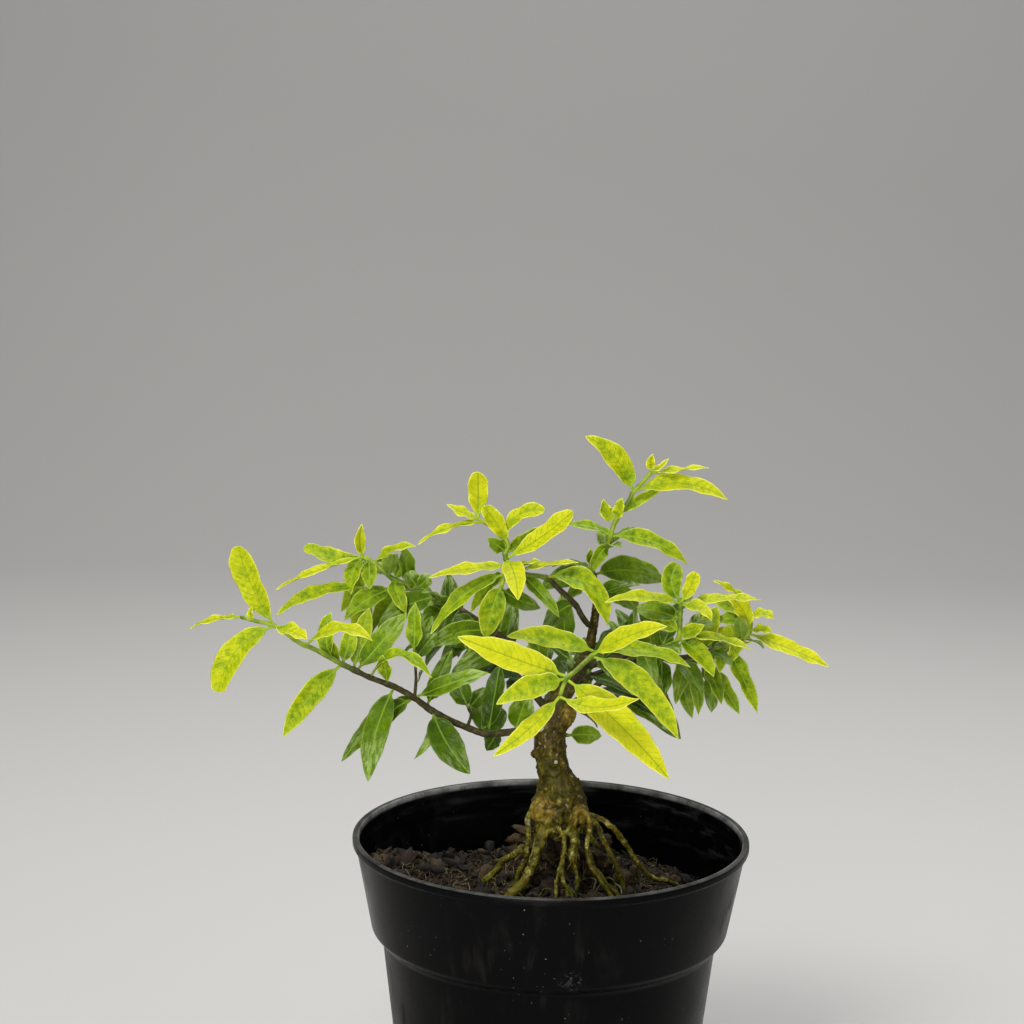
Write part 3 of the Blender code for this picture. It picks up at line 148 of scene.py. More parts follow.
# Leafy branches. A twig: points and radii at both ends, its first point inside the wood that it grows from.
# A leaf: the twig, the point along it that it grows from, the tip, how far the middle bulges off the
# straight line, the width, the way its upper side faces, and BLUNT where its tip is round. A pair row: the
# twig, the first and last points along it, the number of leaf pairs between them, the leaf length and width,
# and the seed of their small differences.
BRANCHES = {
    "branch_left": {
        "twigs": [([(-2, 0, 117), (-6, 0, 116.2), (-12, -1, 115.5), (-17.5, -2, 115.5), (-24, -3, 118),
                    (-30.5, -4, 121.5), (-35, -5, 125), (-40, -6, 128), (-46, -7, 130.5), (-53, -8, 134),
                    (-59, -9, 137.5), (-64, -10, 140), (-69.5, -11, 144), (-74, -11.3, 145.2),
                    (-78, -11.5, 146.2)], 1.15, 0.55),
                  ([(-21.8, -2.6, 117), (-20.8, -2.5, 120), (-21.6, -2, 122.2)], 0.5, 0.4),
                  ([(-35, -5, 125), (-34.7, -4.6, 130.1), (-35.3, -4, 136.6)], 0.5, 0.4)],
        "leaves": [
            (0, 12, (-78, -15, 164.5), (-1.2, 0, 0), 7, (-1, -3, 1), BLUNT),
            (0, 14, (-91.5, -8, 142.5), (0, 0, 0.8), 3.4, (0, -1, 3)),
            (0, 13.2, (-75.2, -12.5, 149), (-0.6, 0, 0), 2, (-1, -2, 1)),
            (0, 12, (-83, -16, 128), (-2.4, 0, 2.3), 7, (-1, -3, 1), BLUNT),
            (0, 12, (-60.5, -18, 142.5), (0, 0, 0.4), 4.9, (0, -1, 2)),
            (0, 10.6, (-44.5, -16, 142), (0, -1, 3.8), 4.8, (1, -2, 3)),
            (0, 9, (-67, -14, 116.5), (-1, 0, 0.8), 5.8, (1, -3, 1)),
            (0, 9, (-58, -3, 141), (-1, 0, 0), 4.0, (-1, -3, 1)),
            (0, 9, (-51.6, 1, 142.5), (0.3, 0, 0), 4.4, (1, -3, 1)),
            (0, 8.5, (-38, 5, 145), (0, 0, 0), 6.4, (0, -3, 2)),
            (0, 8, (-30, -12, 132), (-1, 0, 6), 4.9, (0, -1, 3)),
            (0, 6, (-16.5, -7, 132.5), (0, 0, 0.6), 5.3, (0, -2, 2)),
            (0, 7, (-46, -12, 105), (-1.2, -1, 1), 6.6, (0, -3, 1)),
            (0, 6, (-54, -1, 107), (0, 0, 2.2), 5.6, (-1, -3, 1)),
            (0, 6, (-42.3, 2, 118.4), (0, 0, 1), 3.8, (-1, -2, 2)),
            (0, 5, (-20.5, -10, 107), (-1, -1, 0), 7.7, (1, -4, 0)),
            (0, 5, (-35.5, 2, 107.2), (2.4, 0, 0.8), 2.8, (0, -3, 1)),
            (1, 2, (-24.5, -2, 128.4), (0, 0, 0), 5.6, (0, -3, 0), BLUNT),
            (0, 3, (-18.8, 3, 123.7), (0, 0, 0), 6, (0, -3, 1), BLUNT),
            (0, 2.2, (-17, 6, 108.5), (0, 0, 1), 4.7, (0, -3, 1)),
            (0, 1.6, (-6.4, -3, 126.7), (0, 0, 0), 6.6, (0, -3, 0)),
            (2, 2, (-35.2, -4, 149.2), (0, 0, 0), 4.4, (-1, -3, 0)),
            (0, 2.8, (-13.7, 2, 132.7), (0, 0, 1), 5.6, (-1, -3, 1)),
            (2, 1.7, (-29.7, -1, 141), (0, 0, 0.6), 4.2, (0, -3, 1)),
            (0, 7.3, (-41.9, -9, 136.3), (0, 0, 1), 3.9, (-1, -3, 1)),
            (2, 1.9, (-30.8, 3, 144.9), (0, 0, 0), 4, (1, -3, 1)),
            (1, 1.8, (-17.5, 1, 127.8), (0, 0, 0), 4.2, (1, -3, 0)),
            (0, 8.6, (-48.1, 10, 145.2), (0, 0, 0), 5.2, (0, -3, 1)),
            (0, 5.3, (-26.1, 3, 135.8), (0, 0, 0.5), 4.4, (0, -3, 1)),
        ]},
    "branch_upper_left": {
        "twigs": [([(2, 0.5, 123.5), (-1.5, 5.5, 127.5), (-7, 9.5, 133), (-16, 13, 139), (-27, 16, 145),
                    (-36, 18, 149), (-42, 18, 151), (-44.7, 18, 153), (-47.5, 18, 155.5), (-50.5, 18, 157)],
                   1.2, 0.6),
                  ([(-36, 18, 149), (-43, 18, 148.5), (-50.5, 17, 149)], 0.7, 0.5)],
        "leaves": [
            (0, 9, (-50.5, 15, 166), (-0.8, 0, 0), 3.2, (1, -2, 0)),
            (0, 9, (-73, 12, 149), (0, 0, 1), 3.7, (0, -1, 4)),
            (0, 8.6, (-67, 21, 159.1), (0.5, 0, -1.4), 5, (1, -2, 2), BLUNT),
            (1, 2, (-72, 8, 143), (-1, 0, 2.4), 4.8, (0, -2, 3)),
            (0, 8, (-36.5, 14, 161), (-0.8, 0, 1.2), 3.6, (0, -2, 3)),
            (0, 8, (-42, 16, 157), (0, 0, 0.5), 2.8, (0, -1, 2)),
            (0, 6, (-38.9, 20, 157.2), (-0.3, 0, 0.2), 3.8, (1, -2, 2)),
            (0, 6, (-38.6, 12, 143.5), (-1, 0, 1), 4.7, (1, -3, 1)),
            (0, 8.5, (-48.5, 15, 149), (0, 0, 0.5), 4.3, (0, -3, 0)),
            (0, 9, (-54, 16, 147.5), (-1, 0, 1), 4.5, (-1, -3, 0)),
            (1, 1, (-55, 9, 143.5), (0, 0, 1.5), 6.2, (0, -2, 2)),
            (0, 5, (-39.7, 17, 152.9), (0, 0, 0), 4.4, (1, -3, 0), BLUNT),
            (0, 5, (-33.1, 16, 153.4), (0, 0, 0), 3.8, (-1, -3, 0), BLUNT),
            (0, 3.8, (-33, 12, 146), (0, 0, 0.8), 4.8, (0, -2, 2)),
            (0, 4, (-33, 7, 139), (-1, 0, 1), 6.6, (0, -3, 1)),
            (0, 4.4, (-46, 11, 140), (0, 0, 2), 6.6, (0, -3, 2)),
            (0, 3.6, (-22, 8, 134.5), (0, 0, 0), 4.7, (0, -3, 1)),
            (0, 3, (-31, 14, 131), (0, 0, 3), 5.7, (0, -3, 1)),
            (0, 3.2, (-20, 20, 128), (0, 0, 2), 5.9, (0, 1, 3)),
            (0, 3.8, (-30, 33, 143), (0, 0, 2), 5.9, (0, 1, 3)),
            (0, 2.4, (-21.9, 14, 127.9), (0, 0, 1), 5.9, (0, -3, 1)),
            (1, 1.6, (-52.9, 14, 132.9), (0, 0, 2), 6.4, (-1, -2, 2)),
            (0, 5.4, (-50.1, 22, 134.0), (0, 0, 2), 6, (-1, -2, 2)),
            (0, 3, (-31.8, 4, 135.0), (-1, 0, 1.5), 5.8, (1, -3, 1)),
            (0, 2.4, (-26.0, 2, 130.3), (0, 0, 1), 5.8, (0, -3, 1)),
            (0, 8.8, (-56.9, 23, 141.2), (0.6, 0, 0), 4.6, (0, -3, 0)),
        ]},
    "branch_top_centre": {
        "twigs": [([(9.8, 2.6, 142.5), (7.6, -1, 145), (5, -3, 149.5), (1.2, -4, 153.3), (-2.5, -5, 156.5),
                    (-8, -6, 157.5), (-11.5, -6, 159.5), (-12.6, -6, 162.5), (-12, -6, 165),
                    (-14, -6, 167.5), (-16.5, -6, 169.5), (-19.5, -6, 171.2)], 0.9, 0.6),
                  ([(-11.5, -6, 159.5), (-13, -6.6, 156), (-13.7, -7, 153)], 0.8, 0.5)],
        "leaves": [
            (0, 11, (-19.6, -9, 183), (0, 1.5, 0), 5.2, (0, -3, -0.5), BLUNT),
            (0, 11, (-27.3, -4, 174.5), (0, 0, -0.3), 3.2, (1, -2, 2)),
            (0, 10.5, (-34.5, -8, 164.8), (-0.5, 0, 1.4), 3.5, (0, -1, 3)),
            (0, 8.5, (-3, -8, 174), (-1.8, 0, 2.2), 3.9, (-1, -2, 1), BLUNT),
            (0, 6.6, (3.8, -10, 174), (0.5, 0, -0.4), 5.2, (-1, -2, 1), BLUNT),
            (0, 7, (-2, 1, 168.5), (0, 0, 0), 4.3, (0, -2, 1)),
            (0, 6, (-31.3, -10, 157), (0, 0, 0.7), 3.9, (0, -2, 3)),
            (1, 0.6, (-31, -9, 142.5), (-0.8, 0, 2.5), 5, (-1, -2, 2)),
            (1, 1.3, (-17.1, -9, 141.5), (-0.5, -2, 0.4), 6.4, (0, -3, 0)),
            (0, 6.5, (-9, -19, 153.5), (0.5, 0, 1.5), 5.7, (0, -1, 1)),
            (0, 5.5, (5.6, -8, 161.3), (0, 0, 0.3), 3.4, (0, -1, 4)),
            (0, 5.8, (-4, -9, 161.7), (0, 0, 0), 2.8, (0, -1, 3)),
            (0, 4, (13.3, -9, 145.5), (2.5, 0, 4.6), 7, (1, -2, 2)),
            (0, 5.2, (1.3, -9, 147.4), (0, 0, 0.6), 4.3, (1, -2, 2)),
            (0, 2, (-2.9, -1, 142.1), (0, 0, 1.5), 5, (0, -3, 1)),
            (1, 1.7, (-3.5, -1, 148), (-0.6, 0, -0.4), 4.6, (0, -3, 1)),
            (0, 7.2, (-16.8, -10, 167), (0, 0, 0), 3.6, (-1, -2, 1)),
            (0, 8, (-17.9, -10, 174.7), (0.3, 0, 0.3), 4.4, (1, -3, 0), BLUNT),
        ]},
    "branch_top_right": {
        "twigs": [([(10.6, 5, 147.5), (10.8, 7, 151.5), (9.8, 9, 155), (9.3, 10, 157.5), (11.8, 10, 160.5),
                    (13.6, 10, 163), (14.3, 10, 166.5), (15.3, 10, 169.2), (18.5, 10, 174.3),
                    (19.4, 10, 176.4), (21.7, 10, 179), (24.2, 10, 182)], 0.9, 0.6)],
        "leaves": [
            (0, 9, (7, 7, 191), (1.9, 0, 1.4), 6.1, (1, -3, 1)),
            (0, 9, (43.5, 7, 175.5), (0, 0, 3.4), 5.4, (0, -2, 2)),
            (0, 11, (24.2, 8, 186.5), (-0.5, 0, 0), 2.5, (0, -1, 0)),
            (0, 11, (28.2, 9, 185.5), (0, 0, -0.5), 1.7, (0, -1, 1)),
            (0, 10.8, (38.5, 9, 183.5), (0, 0, 0.2), 3, (0, -1, 3)),
            (0, 7, (12, 9, 174.6), (-1, 0, -0.5), 3.6, (1, -2, 0)),
            (0, 7, (16.8, 8, 175.3), (0, 0, 0), 3.1, (-1, -2, 0)),
            (0, 7.3, (27.5, 13, 177.5), (0, 0, 0.6), 2.8, (0, -2, 1)),
            (0, 5.5, (-1.5, 12, 167.5), (2.5, 0, 1.2), 3.7, (0, -1, 2)),
            (0, 5.5, (33.8, 8, 158.7), (0, 0, 2.7), 5.1, (0, -2, 2)),
            (0, 3, (9, 8, 162), (-0.5, 0, 0), 2.2, (1, -2, 0)),
            (0, 2, (29, 24, 151), (0, 1, 2), 7.4, (0, -3, 1)),
            (0, 2, (-4, 18, 149.5), (0, 0, 1.5), 5.7, (0, -3, 1)),
            (0, 4, (22, 24, 165), (0, 0, 2), 5.1, (0, 1, 3)),
            (0, 5, (7.4, 7, 156.4), (0, 0, 0.8), 3.6, (1, -2, 1)),
            (0, 1, (22.2, 14, 144.6), (0, 0, 2), 6, (1, -3, 1)),
            (0, 1.6, (2.9, 16, 147.0), (0, 0, 1.5), 4.7, (0, -3, 2)),
        ]},
    "branch_right": {
        "twigs": [([(7, 0.6, 133), (10.5, -1.4, 133.8), (15, -2.5, 135.5), (22, -4, 138), (27.5, -5, 139.5),
                    (31, -5, 141.5), (31.4, -5, 146.5), (31.5, -5, 151)], 1.0, 0.6)],
        "leaves": [
            (0, 7, (30.5, -5, 160.6), (-2, 0, 0), 5.3, (0, -3, 0), BLUNT),
            (0, 7, (34.8, -6, 158.8), (0.5, 0, 0), 3.7, (-1, -3, 0), BLUNT),
            (0, 6.9, (12.2, -8, 150.3), (0, 0, 1.6), 4, (0, -1, 1.5)),
            (0, 6.9, (51.5, -4, 152), (0, 0, 0.7), 4.2, (0, -1, 3)),
            (0, 6.8, (39, -10, 147.5), (0.5, 0, 1.5), 4.3, (1, -2, 2)),
            (0, 5.2, (37, -9, 146), (0, 0, 0), 3.7, (1, -2, 1)),
            (0, 5.2, (49, -10, 140.5), (0, 0, 1.2), 3.9, (0, -1, 3)),
            (0, 5, (40, -10, 133.3), (0.5, -1, 1.5), 5.2, (1, -3, 2)),
            (0, 6, (20, 2, 147.5), (0, 0, 1), 5.7, (0, -3, 2)),
            (0, 4, (21, -1, 128), (-1, 0, 1), 5.7, (0, -3, 1)),
            (0, 3, (25, -10, 129), (0, 0, 2), 5.1, (0, -3, 2)),
            (0, 5.4, (23.5, -3, 145.6), (0, 0, 1), 3.9, (-1, -3, 2)),
        ]},
    "branch_right_tip": {
        "twigs": [([(8.6, 1.3, 137), (13, 2.6, 137), (19, 3.4, 136), (26, 4, 135), (33, 4.5, 134.8),
                    (40, 5, 136.5), (45, 5, 138.5), (49.5, 5, 141.2), (50, 7, 145.5),
                    (49, 8, 150)], 1.0, 0.6)],
        "leaves": [
            (0, 7.2, (43.2, 1, 151.5), (0.9, 0, 1.6), 5, (1, -3, 1)),
            (0, 9, (40.5, 6, 154.8), (0, 0, 0), 3.2, (0, -1, 2)),
            (0, 8, (56, 5, 145.6), (0, 0, 0.8), 4.2, (0, -1, 2)),
            (0, 7.2, (55.4, 3, 142.3), (0, 0, 0.5), 3.6, (0, -1, 2)),
            (0, 7, (70, 1, 134), (0, 0, 0.6), 5.3, (0, -2, 3)),
            (0, 6.4, (45, 1, 134.5), (0, 0, 1), 3.8, (1, -2, 1)),
            (0, 5.6, (41.5, 3, 131.5), (0, 0, 0.5), 3.3, (0, -2, 1)),
            (0, 5.8, (52.4, 2, 121.3), (0, 0, 0.8), 4.8, (1, -2, 1)),
            (0, 8, (40.5, 12, 148.5), (0, 0, 1), 4.7, (0, -2, 1)),
            (0, 6.4, (49.8, 2, 139), (0, 0, -0.5), 1.8, (0, -1, 2)),
            (0, 7.6, (41, 9, 143.5), (0, 0, 1), 4.3, (0, -1, 1)),
            (0, 5, (44, 20, 134), (0, 0, 2), 5.1, (0, 1, 3)),
            (0, 4.6, (43.5, 9, 146.5), (0, 0, 1), 5.4, (0, -3, 1)),
            (0, 2.6, (21.1, -1, 144.9), (0, 0, 1), 4.7, (0, -3, 2)),
            (0, 6.6, (42.8, 6, 144.5), (0, 0, 0), 4.4, (1, -3, 1)),
        ]},
    "branch_right_low": {
        "twigs": [([(3.6, 0.3, 127), (6.5, 5, 128), (14, 9, 130), (23, 11, 132.5), (31, 12, 133.2),
                    (37, 12, 132.4), (41, 12, 131)], 1.1, 0.6)],
        "leaves": [
            (0, 4.6, (37.8, 8, 119), (0.5, 0, 1), 4.3, (1, -3, 1)),
            (0, 4.2, (36.5, 12, 117), (-0.5, 0, 0), 4.3, (0, -3, 1)),
            (0, 5.6, (43.3, 4, 123), (0, 0, 1), 4.3, (1, -3, 1)),
            (0, 6, (41.8, 16, 117.6), (0, 0, 0), 4.3, (0, -3, 1)),
            (0, 5.7, (48.6, 10, 118.9), (0, 0, 0.5), 4.4, (1, -3, 1)),
            (0, 3.6, (28, 6, 123), (0, 0, 0), 5.7, (-1, -3, 1)),
            (0, 3, (33.8, 14, 110.9), (-2, 0, -0.4), 7.8, (0, -3, 1)),
            (0, 4, (22, 17, 146), (0, 0, 1), 6.6, (0, -3, 1)),
            (0, 5, (42, 21, 145), (0, 0, 1), 5.7, (0, -3, 2)),
            (0, 4.6, (43, 30, 126), (0, 0, 2), 5.7, (0, 2, 2)),
            (0, 3.2, (26, 30, 124), (0, 0, 2), 5.7, (0, 2, 2)),
            (0, 2, (22.1, 1, 125.8), (0, 0, 1), 6, (0, -3, 1)),
            (0, 2.8, (28.0, 5, 122.9), (0, 0, 1.5), 5.4, (1, -3, 1)),
            (0, 4.4, (31.5, 7, 122.0), (0.5, 0, 1), 4.3, (-1, -3, 1)),
        ]},
    "branch_front": {
        "twigs": [([(4.6, 0.4, 128.5), (7, -5, 132), (8.4, -12, 136.5), (10.5, -21, 141), (9, -27, 141.5),
                    (5.5, -33, 139.5), (3, -37, 138), (1.5, -40, 134.5)], 0.95, 0.55)],
        "leaves": [
            (0, 5.8, (-22.6, -36, 147.5), (0, 0, -0.2), 7.2, (0, -3, 2)),
            (0, 6, (-13, -46, 134), (0, 0, 1), 5.8, (0, -3, 2)),
            (0, 7, (-13.7, -46, 121.5), (0.8, 0, -0.4), 4.4, (-1, -3, 1)),
            (0, 3, (-11.4, -22, 145), (-0.5, 0, 1.6), 6, (0, -2, 2)),
            (0, 4, (26.3, -34, 150.7), (-0.4, 0, 1.2), 5.7, (0, -2, 2)),
            (0, 3, (33.5, -18, 137.5), (0, 0, 2.4), 5.1, (0, -2, 3)),
            (0, 4, (29.8, -36, 124), (1.4, 0, 2.8), 6.8, (1, -3, 2)),
            (0, 6, (27.3, -46, 117), (-0.3, 0, 1.9), 8.6, (1, -3, 2)),
            (0, 7, (19.2, -52, 137.5), (0, 0, -2.2), 5.5, (0, -2, 3)),
        ]},
    "branch_back_left": {
        "twigs": [([(-0.5, 0, 120), (-4, 6, 123), (-9, 13, 126.5), (-15, 20, 129.5), (-22, 28, 132),
                    (-28, 35, 133.5), (-33, 41, 134)], 1.3, 0.6)],
        "leaves": [],
        "pairs": [(0, 1.8, 6.0, 5, 18, 6, 35)]},
    "branch_back_mid": {
        "twigs": [([(-0.5, 0, 116), (2, 6, 118), (4, 14, 121), (5, 24, 124), (5, 34, 126.5), (3, 43, 128)],
                   1.2, 0.6)],
        "leaves": [],
        "pairs": [(0, 1.8, 5.0, 4, 18, 6, 125)]},
    "branch_back_right": {
        "twigs": [([(1.0, 0.4, 121.5), (5.5, 6.5, 122), (11, 14, 124.5), (17.5, 23, 128), (23.5, 31, 131),
                    (28, 39, 133)], 1.2, 0.6)],
        "leaves": [],
        "pairs": [(0, 1.9, 5.0, 4, 18, 6, 3)]},
    "leaf_trunk": {
        "twigs": [([(0, 0.5, 115.4), (3.0, 2.4, 114.4), (4.1, 3.3, 114)], 0.7, 0.6)],
        "leaves": [
            (0, 2, (12.9, 9, 112.5), (0, 0, 0.3), 5, (0, -3, 0.6)),
        ]},
}

# Pair leaves: how far they lean along the twig and how far the tips sink, as shares of their length
PAIR_LEAN = 0.5
PAIR_SINK = 0.16
PAIR_ARCH = 0.1
PAIR_SPREAD = 14.0

# Small turns, in degrees, that a leaf tries in this order until it is clear of the other pieces
BENDS = [(0, 0)] + [(lift, swing) for size in (4, 8, 12, 17, 23, 30)
                    for lift, swing in ((size, 0), (-size, 0), (0, size), (0, -size), (size, size),
                                        (-size, -size), (size, -size), (-size, size))]


def unit(v):
    return v / np.maximum(np.linalg.norm(v, axis=-1, keepdims=True), 1e-9)


def spline(points, u):
    """The point at u on the smooth curve through the points. At 1.5 it is halfway from point 1 to 2."""
    p = np.asarray(points, float)
    q = np.vstack([2 * p[0] - p[1], p, 2 * p[-1] - p[-2]])
    i = min(int(u), len(p) - 2)
    t = u - i
    a, b, c, d = q[i:i + 4]
    square = 2 * a - 5 * b + 4 * c - d
    cube = 3 * b - a - 3 * c + d
    return 0.5 * (2 * b + (c - a) * t + square * t ** 2 + cube * t ** 3)


def tangent(points, u):
    last = len(points) - 1
    return unit(spline(points, min(u + 0.1, last)) - spline(points, max(u - 0.1, 0)))


def turned(v, axis, degrees):
    """Vector v turned about a unit axis."""
    a = np.radians(degrees)
    return v * np.cos(a) + np.cross(axis, v) * np.sin(a) + axis * (axis @ v) * (1 - np.cos(a))


def half_width(t, width, fall):
    """Half of a leaf's width at share t of its length. The tip is the blunter the smaller fall is."""
    s = np.clip((t - STALK_SHARE) / (1 - STALK_SHARE), 0, 1)
    top = RISE / (RISE + fall)
    shape = (s ** RISE * (1 - s) ** fall) / (top ** RISE * (1 - top) ** fall)
    return np.maximum(width / 2 * shape, np.where(t < 0.5, STALK, TIP))


def leaf_frame(leaf, t):
    """A leaf's middle line at shares t of its length, and its upward and sideways directions there."""
    base, tip, bulge, _, face, _ = leaf
    tt = t[:, None]
    centre = (1 - tt) * base + tt * tip + 4 * tt * (1 - tt) * bulge
    along = unit((tip - base) + 4 * (1 - 2 * tt) * bulge)
    up = unit(face - (along @ face)[:, None] * along)
    return centre, up, np.cross(along, up)


def ripple(t, across):
    """The wave of a leaf's margins, which is flat at the midrib."""
    return np.cos(2 * np.pi * (t - WAVE_START) / WAVE_LENGTH)[:, None] * np.sign(across) * across ** 2


def off_line(centre, up, side, sideways, lift):
    """Points away from a middle line, sideways and up."""
    return centre[:, None] + side[:, None] * sideways[..., None] + up[:, None] * lift[..., None]


def blade_surface(leaf, t, u, extra=0.0):
    """Points of a leaf's middle surface at shares t along it and u across it, and its upward direction."""
    _, _, _, width, _, fall = leaf
    centre, up, side = leaf_frame(leaf, t)
    half = half_width(t, width, fall)[:, None] + extra
    across = u[None, :]
    lift = FOLD * (np.abs(across) - 0.5) * half + WAVE * ripple(t, across) * np.minimum(1, half / 1.5)
    return off_line(centre, up, side, across * half, lift), up


def blade_slab(leaf, thickness=BLADE, extra=0.0, start=0.0):
    """A closed slab round a leaf's middle surface, both of its faces split into triangles alike.

    It has three points across, two at its foot and one at its tip.
    """
    small = np.linalg.norm(leaf[1] - leaf[0]) < SMALL_LENGTH
    t = np.array([start] + [s for s in (SMALL_STATIONS if small else BLADE_STATIONS) if s > start])
    surface, up = blade_surface(leaf, t, np.array([-1.0, 0.0, 1.0]), extra)
    kept = [(0, 2)] + [(0, 1, 2)] * (len(t) - 2) + [(1,)]
    shift = [u * thickness / 2 for u in up]
    top = [surface[i][j] + shift[i] for i, row in enumerate(kept) for j in row]
    under = [surface[i][j] - shift[i] for i, row in enumerate(kept) for j in row]
    low = len(top)
    firsts = np.cumsum([0] + [len(row) for row in kept])
    rows = [list(range(firsts[i], firsts[i + 1])) for i in range(len(kept))]
    faces = [(1, 0, low), (1, low, low + 1)]
    for near, far in zip(rows, rows[1:]):
        if len(near) == 2:
            skin = [(near[0], near[1], far[1]), (near[0], far[1], far[0]), (near[1], far[2], far[1])]
        elif len(far) == 1:
            skin = [(near[0], near[1], far[0]), (near[1], near[2], far[0])]
        else:
            skin = []
            for j in (0, 1):
                skin += [(near[j], near[j + 1], far[j + 1]), (near[j], far[j + 1], far[j])]
        faces += skin + [(low + a, low + c, low + b) for a, b, c in skin]
        a, b = near[0], far[0]
        faces += [(a, low + b, low + a), (a, b, low + b)]
        a, b = near[-1], far[-1]
        faces += [(a, low + a, low + b), (a, low + b, b)]
    return np.array(top + under), faces


def tube(points, radii, sides, bump=None):
    """A closed tube along the points, with a flat end at both ends."""
    p = np.asarray(points, float)
    along = unit(np.gradient(p, axis=0))
    first = np.cross(along[0], (0.0, 1.0, 0.0) if abs(along[0][1]) < 0.9 else (1.0, 0.0, 0.0))
    across = unit(first)
    verts = []
    angles = np.linspace(0, 2 * np.pi, sides, endpoint=False)
    for i, centre in enumerate(p):
        across = unit(across - (across @ along[i]) * along[i])
        other = np.cross(along[i], across)
        reach = radii[i] * (np.ones(sides) if bump is None else bump(i, angles))
        ring = np.cos(angles)[:, None] * across + np.sin(angles)[:, None] * other
        verts.append(centre + reach[:, None] * ring)
    faces = []
    for i in range(len(p) - 1):
        for k in range(sides):
            a, b = i * sides + k, i * sides + (k + 1) % sides
            faces += [(a, b, b + sides), (a, b + sides, a + sides)]
    end = (len(p) - 1) * sides
    for k in range(1, sides - 1):
        faces += [(0, k + 1, k), (end, end + k, end + k + 1)]
    return np.concatenate(verts), faces


def samples(path, steps):
    """Places along a path, steps to each stretch, and the points there on the smooth curve through it."""
    places = np.linspace(0, len(path) - 1, (len(path) - 1) * steps + 1)
    return places, np.array([spline(path, u) for u in places])


def tapered(path, first, last, steps, sides):
    """A tube on the smooth curve through a path, its radius running evenly from first to last."""
    places, points = samples(path, steps)
    return tube(points, np.linspace(first, last, len(places)), sides)


def tree(mesh):
    verts, faces = mesh
    return BVHTree.FromPolygons([tuple(v) for v in verts], faces)


def touches(mesh, others):
    mine = tree(mesh)
    return any(mine.overlap(other) for other in others)


def trimmed(twig, wood):
    """A twig's tube, begun where its end comes clear of the wood."""
    path, first, last = twig
    end = len(path) - 1
    for start in np.arange(0.0, 2.0, 0.05):
        stops = [start] + [u for u in range(1, end + 1) if u > start + 0.3]
        points = np.array([spline(path, u) for u in stops])
        radii = np.interp(stops, [0, end], [first, last])
        if not touches(tube(points, radii + GAP, TWIG_SIDES), wood):
            return tube(points, radii, TWIG_SIDES)
    raise ValueError("a twig never comes clear of the wood")


def twig_tubes(branch, wood):
    """The twigs of a branch: the first begins clear of the wood, side twigs grow out of the first."""
    main, *sides = branch["twigs"]
    return [trimmed(main, wood)] + [tapered(path, first, last, 1, TWIG_SIDES) for path, first, last in sides]


def photographed_leaves(branch):
    for twig, node, tip, bulge, width, face, *blunt in branch["leaves"]:
        base = spline(branch["twigs"][twig][0], node)
        fall = blunt[0] if blunt else POINTED
        yield base, np.array(tip, float), np.array(bulge, float), width, np.array(face, float), fall


def paired_leaves(branch):
    """Opposite leaves, each pair turned a right angle from the last, as the plant grows them."""
    for twig, start, end, pairs, length, width, seed in branch.get("pairs", []):
        draw = np.random.default_rng(seed)
        path = branch["twigs"][twig][0]
        for k, node in enumerate(np.linspace(start, end, pairs)):
            along = tangent(path, node)
            level = unit(np.cross(along, (0.0, 0.0, 1.0)))
            upward = np.cross(level, along)
            turn = 90 * (k % 2) + 25 + draw.uniform(-PAIR_SPREAD, PAIR_SPREAD)
            for side in (0, 180):
                out = turned(level, along, turn + side + draw.uniform(-PAIR_SPREAD, PAIR_SPREAD))
                reach = length * draw.uniform(0.82, 1.12)
                way = unit(out + PAIR_LEAN * along + 0.25 * upward)
                base = spline(path, node)
                tip = base + way * reach - np.array([0.0, 0.0, PAIR_SINK * reach])
                face = unit(np.array([0.0, -0.2, 1.0]) + 0.3 * out)
                bulge = PAIR_ARCH * reach * (face - (face @ way) * way)
                yield base, tip, bulge, width * draw.uniform(0.85, 1.1), face, POINTED


def bent(leaf, lift, swing):
    """A leaf turned about its base: lift raises the tip, swing moves it sideways."""
    base, tip, bulge, width, face, fall = leaf
    along = unit(tip - base)
    up = unit(face - (along @ face) * along)
    side = np.cross(along, up)
    parts = []
    for v in (tip - base, bulge, face):
        parts.append(turned(turned(v, side, lift), up, swing))
    return base, base + parts[0], parts[1], width, parts[2], fall


